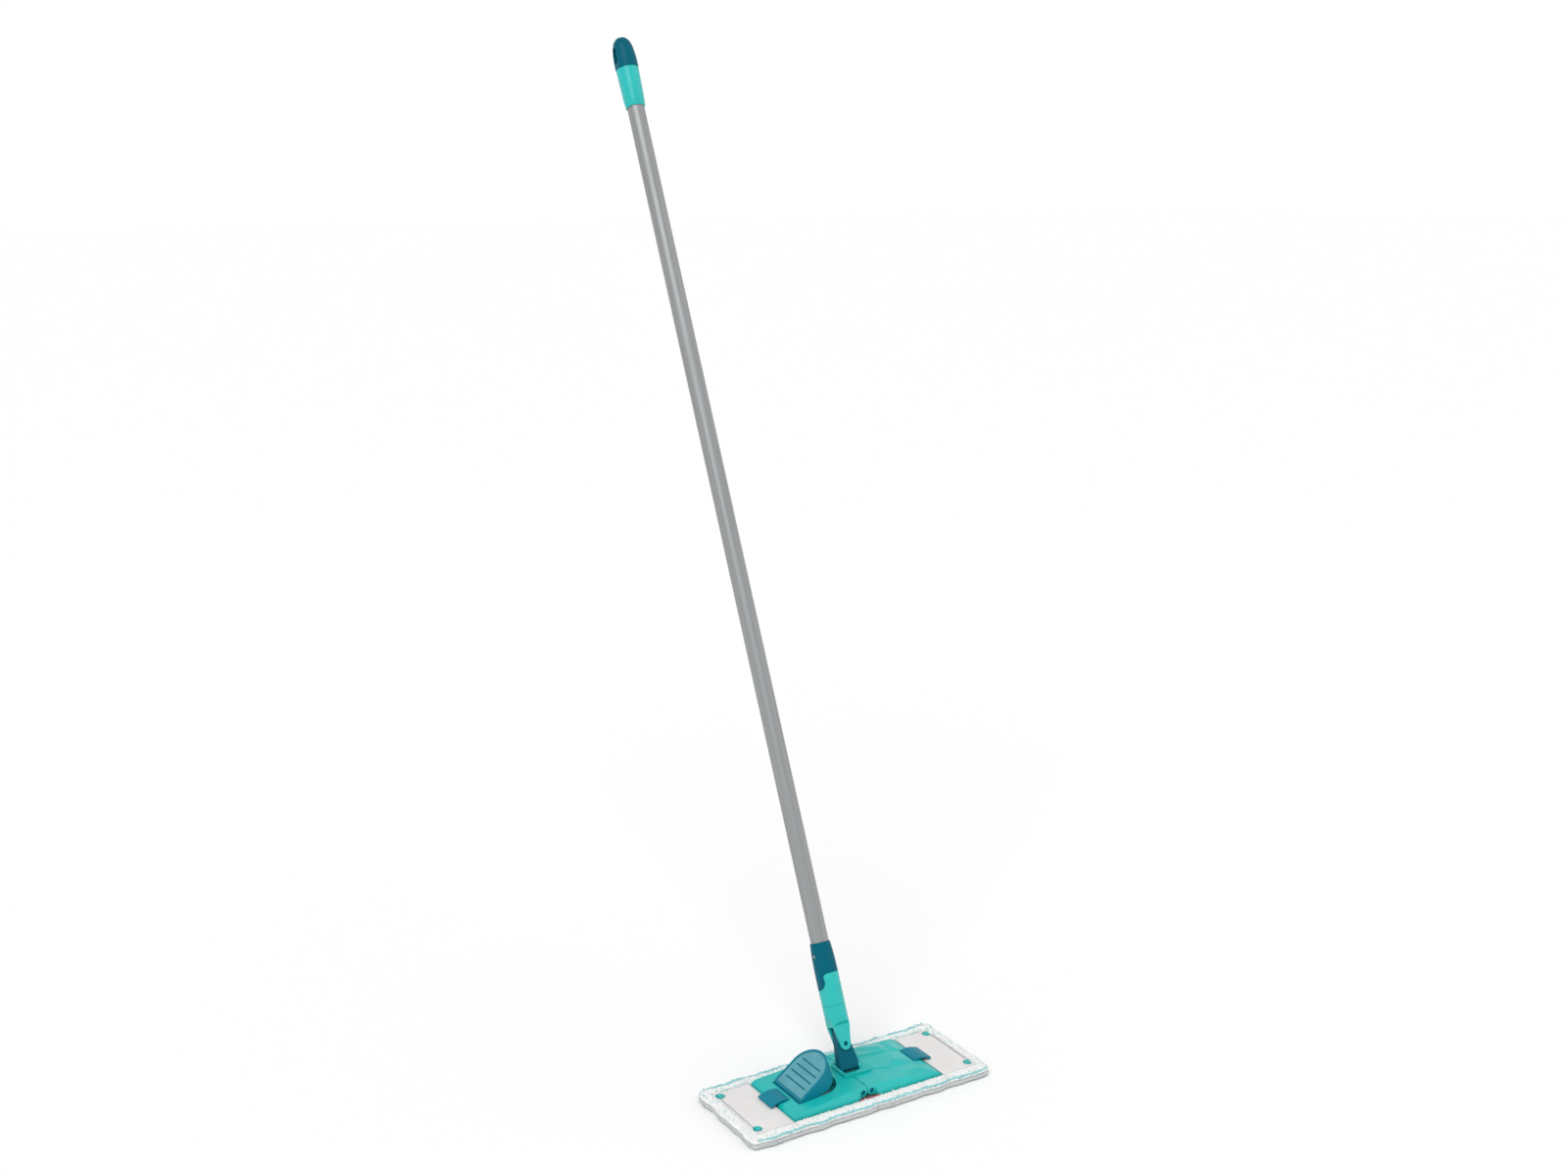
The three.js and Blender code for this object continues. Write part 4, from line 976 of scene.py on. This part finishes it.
def stripe_tufts(x0, x1, rng):
    """Roots and ways of the yarn ends on the aqua row, which lie along it."""
    roots, ways = [], []
    uneven = 0.4 * MM
    count = int((x1 - x0) / STRIPE_TUFT_SPACING)
    for sign in (-1, 1):
        along = np.linspace(x0 + TUFT_MARGIN, x1 - TUFT_MARGIN, count) + rng.normal(0, uneven, count)
        height = STRIPE_TUFT_HEIGHT + rng.normal(0, 0.35 * MM, count)
        out = sign * (HEAD_SIDE - STRIPE_TUFT_DEPTH + rng.normal(0, uneven, count))
        roots.append(np.column_stack([along, out, height]))
        ways.append(np.column_stack([rng.choice([-1.0, 1.0], count), np.full(count, sign * 0.35),
                                     rng.normal(0, 0.25, count)]))
    return np.concatenate(roots), np.concatenate(ways)


def stripe_mesh(name, x0, x1, rng):
    """The aqua row itself, lumpy and continuous, in front and behind between x0 and x1."""
    steps = int((x1 - x0) / STRIPE_SPACING)
    strips = []
    for sign in (-1, 1):
        rows = []
        for i in range(steps + 1):
            x = x0 + (x1 - x0) * i / steps
            radius = STRIPE_RADIUS * rng.uniform(0.8, 1.15)
            height = STRIPE_HEIGHT + rng.normal(0, 0.15 * MM)
            ring = arc((HEAD_SIDE - STRIPE_DEPTH, height), radius, 0, 360, STRIPE_SIDES)[:-1]
            rows.append([(x, sign * y, z) for y, z in ring])
        strips.append(rows)
    return mesh_of(name, lofted(strips))


def border_tufts(name, sets, stripe, share, rng):
    """One mesh of the tufts in `sets`, with the stripe's own all aqua."""
    roots = np.concatenate([r for r, _ in sets] + [stripe[0]])
    ways = np.concatenate([w for _, w in sets] + [stripe[1]])
    total = len(roots)
    lengths = rng.uniform(*BORDER_TUFT_LENGTH, total) * MM
    radii = rng.uniform(*BORDER_TUFT_RADIUS, total) * MM
    striped = np.arange(total) >= total - len(stripe[0])
    aqua = flecked(roots, rng, share) | striped
    lengths[striped] *= STRIPE_TUFT_STRETCH
    radii[striped] = STRIPE_TUFT_RADIUS
    mesh = tuft_mesh(name, roots, ways, lengths, radii, aqua, rng)
    settle(mesh)
    return mesh


BORDER_GAP = 0.5 * MM


def make_side_borders(side):
    """The borders in front of and behind one wing, on the half of the sole that swings."""
    name = half_name(side)
    start = SOLE_START[side]
    stop = POCKET_START - BORDER_GAP
    rng = seeded(41)
    mesh = border_mesh(f"border_{name}", start, stop, rng)
    roots = strip_tufts(start, stop, rng)
    tufts = border_tufts(f"border_tufts_{name}", [roots], stripe_tufts(start, stop, rng), SIDE_AQUA, rng)
    stripe = stripe_mesh(f"stripe_{name}", start, stop, rng)
    for part in (mesh, tufts, stripe):
        if side < 0:
            mirrored(part)
        waved(part)
    piece = new_piece(f"border_{name}", f"{name}_pad", "pile", mesh)
    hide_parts(f"pad_{name}")
    new_piece(f"border_tufts_{name}", f"{name}_pad", "pile", tufts)
    new_piece(f"stripe_{name}", f"{name}_pad", "pile", stripe, look="aqua_pile")


HOLE_X = 167 * MM
HOLE_Y = 48 * MM
HOLE_RADIUS = 6.4 * MM
HOLE_FLAT = HOLE_RADIUS * 0.55
HOLE_STEPS = 14
FABRIC_LOW = 12.9 * MM
FABRIC_THICK = 1.3 * MM
SHEET_THICK = FABRIC_THICK * 0.8
FABRIC_SPACING = 4 * MM
FABRIC_END = END_BORDER_INNER + 1.5 * MM
FABRIC_HALF = BORDER_INNER + 0.8 * MM
RIPPLE_START = 6 * MM


def hole_outline(x, y):
    """A D-shaped outline with its flat side towards the head's end."""
    round_side = arc((x, y), HOLE_RADIUS, 90, 270, HOLE_STEPS)
    return [(x + HOLE_FLAT, y + HOLE_RADIUS)] + round_side + [(x + HOLE_FLAT, y - HOLE_RADIUS)]


def fabric_height(x, y):
    """The pocket fabric's top: almost flat, with faint long ripples that start inside its mouth."""
    ripple = 0.25 * math.sin(x * 90) * math.cos(y * 42) + 0.15 * math.sin(y * 110 + x * 40)
    share = max(0.0, min(1.0, (x - POCKET_START) / RIPPLE_START))
    return FABRIC_LOW + FABRIC_THICK + ripple * 0.5 * MM * share


def off_holes(x, y):
    """Whether a place is well clear of both holes."""
    return all(math.hypot(x - HOLE_X, y - sign * HOLE_Y) > HOLE_RADIUS * 1.3 for sign in (-1, 1))


def in_hole(x, y):
    """Whether a place is in either hole: in its round part or in the straight part beside it."""
    return any(
        math.hypot(x - HOLE_X, y - sign * HOLE_Y) < HOLE_RADIUS * 0.97
        or (abs(y - sign * HOLE_Y) < HOLE_RADIUS and HOLE_X < x < HOLE_X + HOLE_FLAT)
        for sign in (-1, 1)
    )


def pocket_sheet_mesh(name):
    """The smooth fabric over a wing's tongue, with two D-shaped holes for its studs."""
    x0, x1, half = POCKET_START, FABRIC_END, FABRIC_HALF
    outline = resampled([(x0, -half), (x1, -half), (x1, half), (x0, half)], FABRIC_SPACING)
    places, lines = [], []
    for loop in [outline] + [hole_outline(HOLE_X, sign * HOLE_Y) for sign in (-1, 1)]:
        first = len(places)
        places += [Vector(p) for p in loop]
        lines += [(first + i, first + (i + 1) % len(loop)) for i in range(len(loop))]
    for i in range(1, int((x1 - x0) / FABRIC_SPACING)):
        for j in range(1, int(2 * half / FABRIC_SPACING)):
            x, y = x0 + i * FABRIC_SPACING, -half + j * FABRIC_SPACING
            if off_holes(x, y):
                places.append(Vector((x, y)))
    where, _, triangles, _, _, _ = delaunay_2d_cdt(places, lines, [], 1, SAME_PLACE)
    bm = bmesh.new()
    top = [bm.verts.new((p.x, p.y, fabric_height(p.x, p.y))) for p in where]
    for triangle in triangles:
        x = sum(where[i].x for i in triangle) / 3
        y = sum(where[i].y for i in triangle) / 3
        if not in_hole(x, y):
            bm.faces.new([top[i] for i in triangle])
    loose = [v for v in bm.verts if not v.link_faces]
    bmesh.ops.delete(bm, geom=loose, context="VERTS")
    bmesh.ops.recalc_face_normals(bm, faces=bm.faces)
    if sum(f.normal.z for f in bm.faces) < 0:
        bmesh.ops.reverse_faces(bm, faces=bm.faces)
    bmesh.ops.solidify(bm, geom=bm.faces[:], thickness=SHEET_THICK)
    bmesh.ops.recalc_face_normals(bm, faces=bm.faces)
    return mesh_of(name, bm)


# The line where the pocket's hem folds: a thin ridge in painted shadow grey.
FOLD_SHADOW_RADIUS = 0.45 * MM
FOLD_SHADOW_RISE = 0.05 * MM
FOLD_SHADOW_SIDES = 6
FOLD_SHADOW_STEPS = 40


def fold_shadow_mesh(name):
    """A thin raised line across the pocket where its hem folds, which joins the flat sides of its two holes; its
    dark grey is painted shadow of the fold's step.
    """
    x = HOLE_X + HOLE_FLAT
    reach = HOLE_Y - HOLE_RADIUS
    rows = []
    for i in range(FOLD_SHADOW_STEPS + 1):
        y = -reach + 2 * reach * i / FOLD_SHADOW_STEPS
        ring = arc((x, fabric_height(x, y) + FOLD_SHADOW_RISE), FOLD_SHADOW_RADIUS, 0, 360, FOLD_SHADOW_SIDES)[:-1]
        rows.append([(ring_x, y, ring_z) for ring_x, ring_z in ring])
    return mesh_of(name, lofted([rows]))


def make_pocket(side):
    """The pocket on one wing: smooth fabric, a line of painted shadow where its hem folds, and a pile border round
    three sides.
    """
    name = half_name(side)
    body = f"{name}_wing"
    rng = seeded(57)
    fabric = pocket_sheet_mesh(f"pocket_fabric_{name}")
    fold_shadow_line = fold_shadow_mesh(f"pocket_fold_shadow_{name}")
    border = end_border_mesh(f"end_border_{name}", rng)
    sets = [strip_tufts(POCKET_START, END_BORDER_INNER, rng), end_tufts(rng)]
    stripe = stripe_tufts(POCKET_START, HEAD_END - STRIPE_END, rng)
    tufts = border_tufts(f"end_tufts_{name}", sets, stripe, END_AQUA, rng)
    yarns = stripe_mesh(f"end_stripe_{name}", POCKET_START, HEAD_END - CORNER_RADIUS, rng)
    if side < 0:
        for mesh in (fabric, fold_shadow_line, border, tufts, yarns):
            mirrored(mesh)
    for mesh in (border, tufts, yarns):
        waved(mesh)
    sheet = new_piece(f"pocket_fabric_{name}", body, "pocket_fabric", fabric)
    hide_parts(f"pocket_{name}")
    # The hem's fold line, in its painted shadow grey.
    fold_shadow_piece = new_piece(f"pocket_fold_shadow_{name}", body, "pocket_fabric", fold_shadow_line, look="fold_shadow_grey")
    roll = new_piece(f"end_border_{name}", body, "pile", border)
    new_piece(f"end_tufts_{name}", body, "pile", tufts)
    new_piece(f"end_stripe_{name}", body, "pile", yarns, look="aqua_pile")


# The ribbon's section, y and z in millimetres, leaning out from its lower edge.
TAG_SECTION = [(-56.5, 9.6), (-57.7, 14.3), (-57.2, 14.6), (-56.0, 10.1)]
TAG_END = 16 * MM
TAG_CURL = -0.4 * MM
TAG_STEPS = 10


def make_tag(side):
    """Half of the plain red ribbon that shows under the arch at the middle of the front."""
    name = half_name(side)
    start = SOLE_START[side]
    rows = []
    for i in range(TAG_STEPS + 1):
        x = start + (TAG_END - start) * i / TAG_STEPS
        curl = TAG_CURL * math.sin(math.pi * i / TAG_STEPS)
        rows.append([(x, y * MM + curl, z * MM) for y, z in TAG_SECTION])
    mesh = mesh_of(f"tag_{name}", lofted([rows]), smooth=False)
    if side < 0:
        mirrored(mesh)
    new_piece(f"tag_{name}", f"{name}_pad", "pile", mesh, look="red_ribbon")


def make_cover():
    for side in (-1, 1):
        make_sole(side)
        sole_tufts(side)
        make_side_borders(side)
        make_pocket(side)
        make_tag(side)


# ---------- stage ----------
CAMERA_PLACE = (-1.2247, -1.8407, 1.2248)
CAMERA_AZIMUTH = -31.47
CAMERA_ELEVATION = 13.55
SENSOR_WIDTH = 36.0
LENS = 41.5395


def aim(thing, azimuth, elevation):
    """Turns a camera or a light to look along +Y at azimuth 0, and down by its elevation."""
    a, e = math.radians(azimuth), math.radians(elevation)
    back = Vector((math.sin(a) * math.cos(e), -math.cos(a) * math.cos(e), math.sin(e)))
    thing.rotation_mode = "QUATERNION"
    thing.rotation_quaternion = (-back).to_track_quat("-Z", "Y")


def make_camera():
    data = bpy.data.cameras.new("camera")
    data.sensor_width = SENSOR_WIDTH
    data.lens = LENS
    camera = placed("camera", data)
    camera.location = CAMERA_PLACE
    aim(camera, CAMERA_AZIMUTH, CAMERA_ELEVATION)
    bpy.context.scene.camera = camera


def make_sun(name, strength, softness, azimuth, elevation):
    """A soft far light. Softness is the angle that it fills in the sky, in degrees."""
    data = bpy.data.lights.new(name, "SUN")
    data.energy = strength
    data.angle = math.radians(softness)
    aim(placed(name, data), azimuth, elevation)


MARK_ABOVE = 3.0 * MM
FLOOR_BELOW = 0.2 * MM


def keep_floor_below(floor):
    """Lowers the floor under whichever corner of the head a pose takes lowest. At rest it does nothing."""
    for side, part, z in product((-1, 1), ("pad", "wing"), (MARK_ABOVE, BORDER_TOP + MARK_ABOVE)):
        body = f"{half_name(side)}_{part}"
        for x, y in product((side * SOLE_START[side], side * HEAD_END), (-HEAD_SIDE, HEAD_SIDE)):
            mark = placed(f"floor_mark_{body}", None)
            mark.location = (x, y, z)
            mark.hide_render = True
            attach(mark, body)
            rule = floor.constraints.new("FLOOR")
            rule.target = mark
            rule.floor_location = "FLOOR_NEGATIVE_Z"
            rule.offset = -MARK_ABOVE - FLOOR_BELOW


FLOOR_HALF = 30.0
# The sky's strength falls from 1 to SKY_STRENGTH between these two heights of a ray's direction.
SKY_STRENGTH = 0.58
SKY_FADE = (0.15, 0.5)


def make_floor():
    mesh = bpy.data.meshes.new("floor")
    signs = ((-1, -1), (1, -1), (1, 1), (-1, 1))
    mesh.from_pydata([(x * FLOOR_HALF, y * FLOOR_HALF, 0) for x, y in signs], [], [(0, 1, 2, 3)])
    mesh.update()
    floor = placed("floor", mesh)
    floor.location.z = -FLOOR_BELOW
    keep_floor_below(floor)
    look = Look("floor", (0.93, 0.93, 0.93, 1.0), 0.9, specular=0.05)
    mesh.materials.append(look.material)


def make_sky():
    """A studio sky that is white at the horizon and softer overhead."""
    world = bpy.data.worlds.new("studio")
    bpy.context.scene.world = world
    world.use_nodes = True
    nodes, links = world.node_tree.nodes, world.node_tree.links
    background = nodes["Background"]
    background.inputs["Color"].default_value = (1.0, 1.0, 1.0, 1.0)
    towards = nodes.new("ShaderNodeTexCoord")
    split = nodes.new("ShaderNodeSeparateXYZ")
    fade = nodes.new("ShaderNodeMapRange")
    fade.inputs["From Min"].default_value, fade.inputs["From Max"].default_value = SKY_FADE
    fade.inputs["To Min"].default_value = 1.0
    fade.inputs["To Max"].default_value = SKY_STRENGTH
    links.new(towards.outputs["Generated"], split.inputs["Vector"])
    links.new(split.outputs["Z"], fade.inputs["Value"])
    links.new(fade.outputs["Result"], background.inputs["Strength"])


def make_stage():
    make_floor()
    make_sky()
    make_sun("key_light", strength=1.45, softness=35, azimuth=-50, elevation=55)
    make_sun("fill_light", strength=0.35, softness=60, azimuth=60, elevation=40)
    bpy.context.scene.view_settings.view_transform = "Standard"


make_mouldings()
make_button_spring()
make_wings()
make_clip(-1)
make_clip(1)
make_cover()
make_camera()
make_stage()
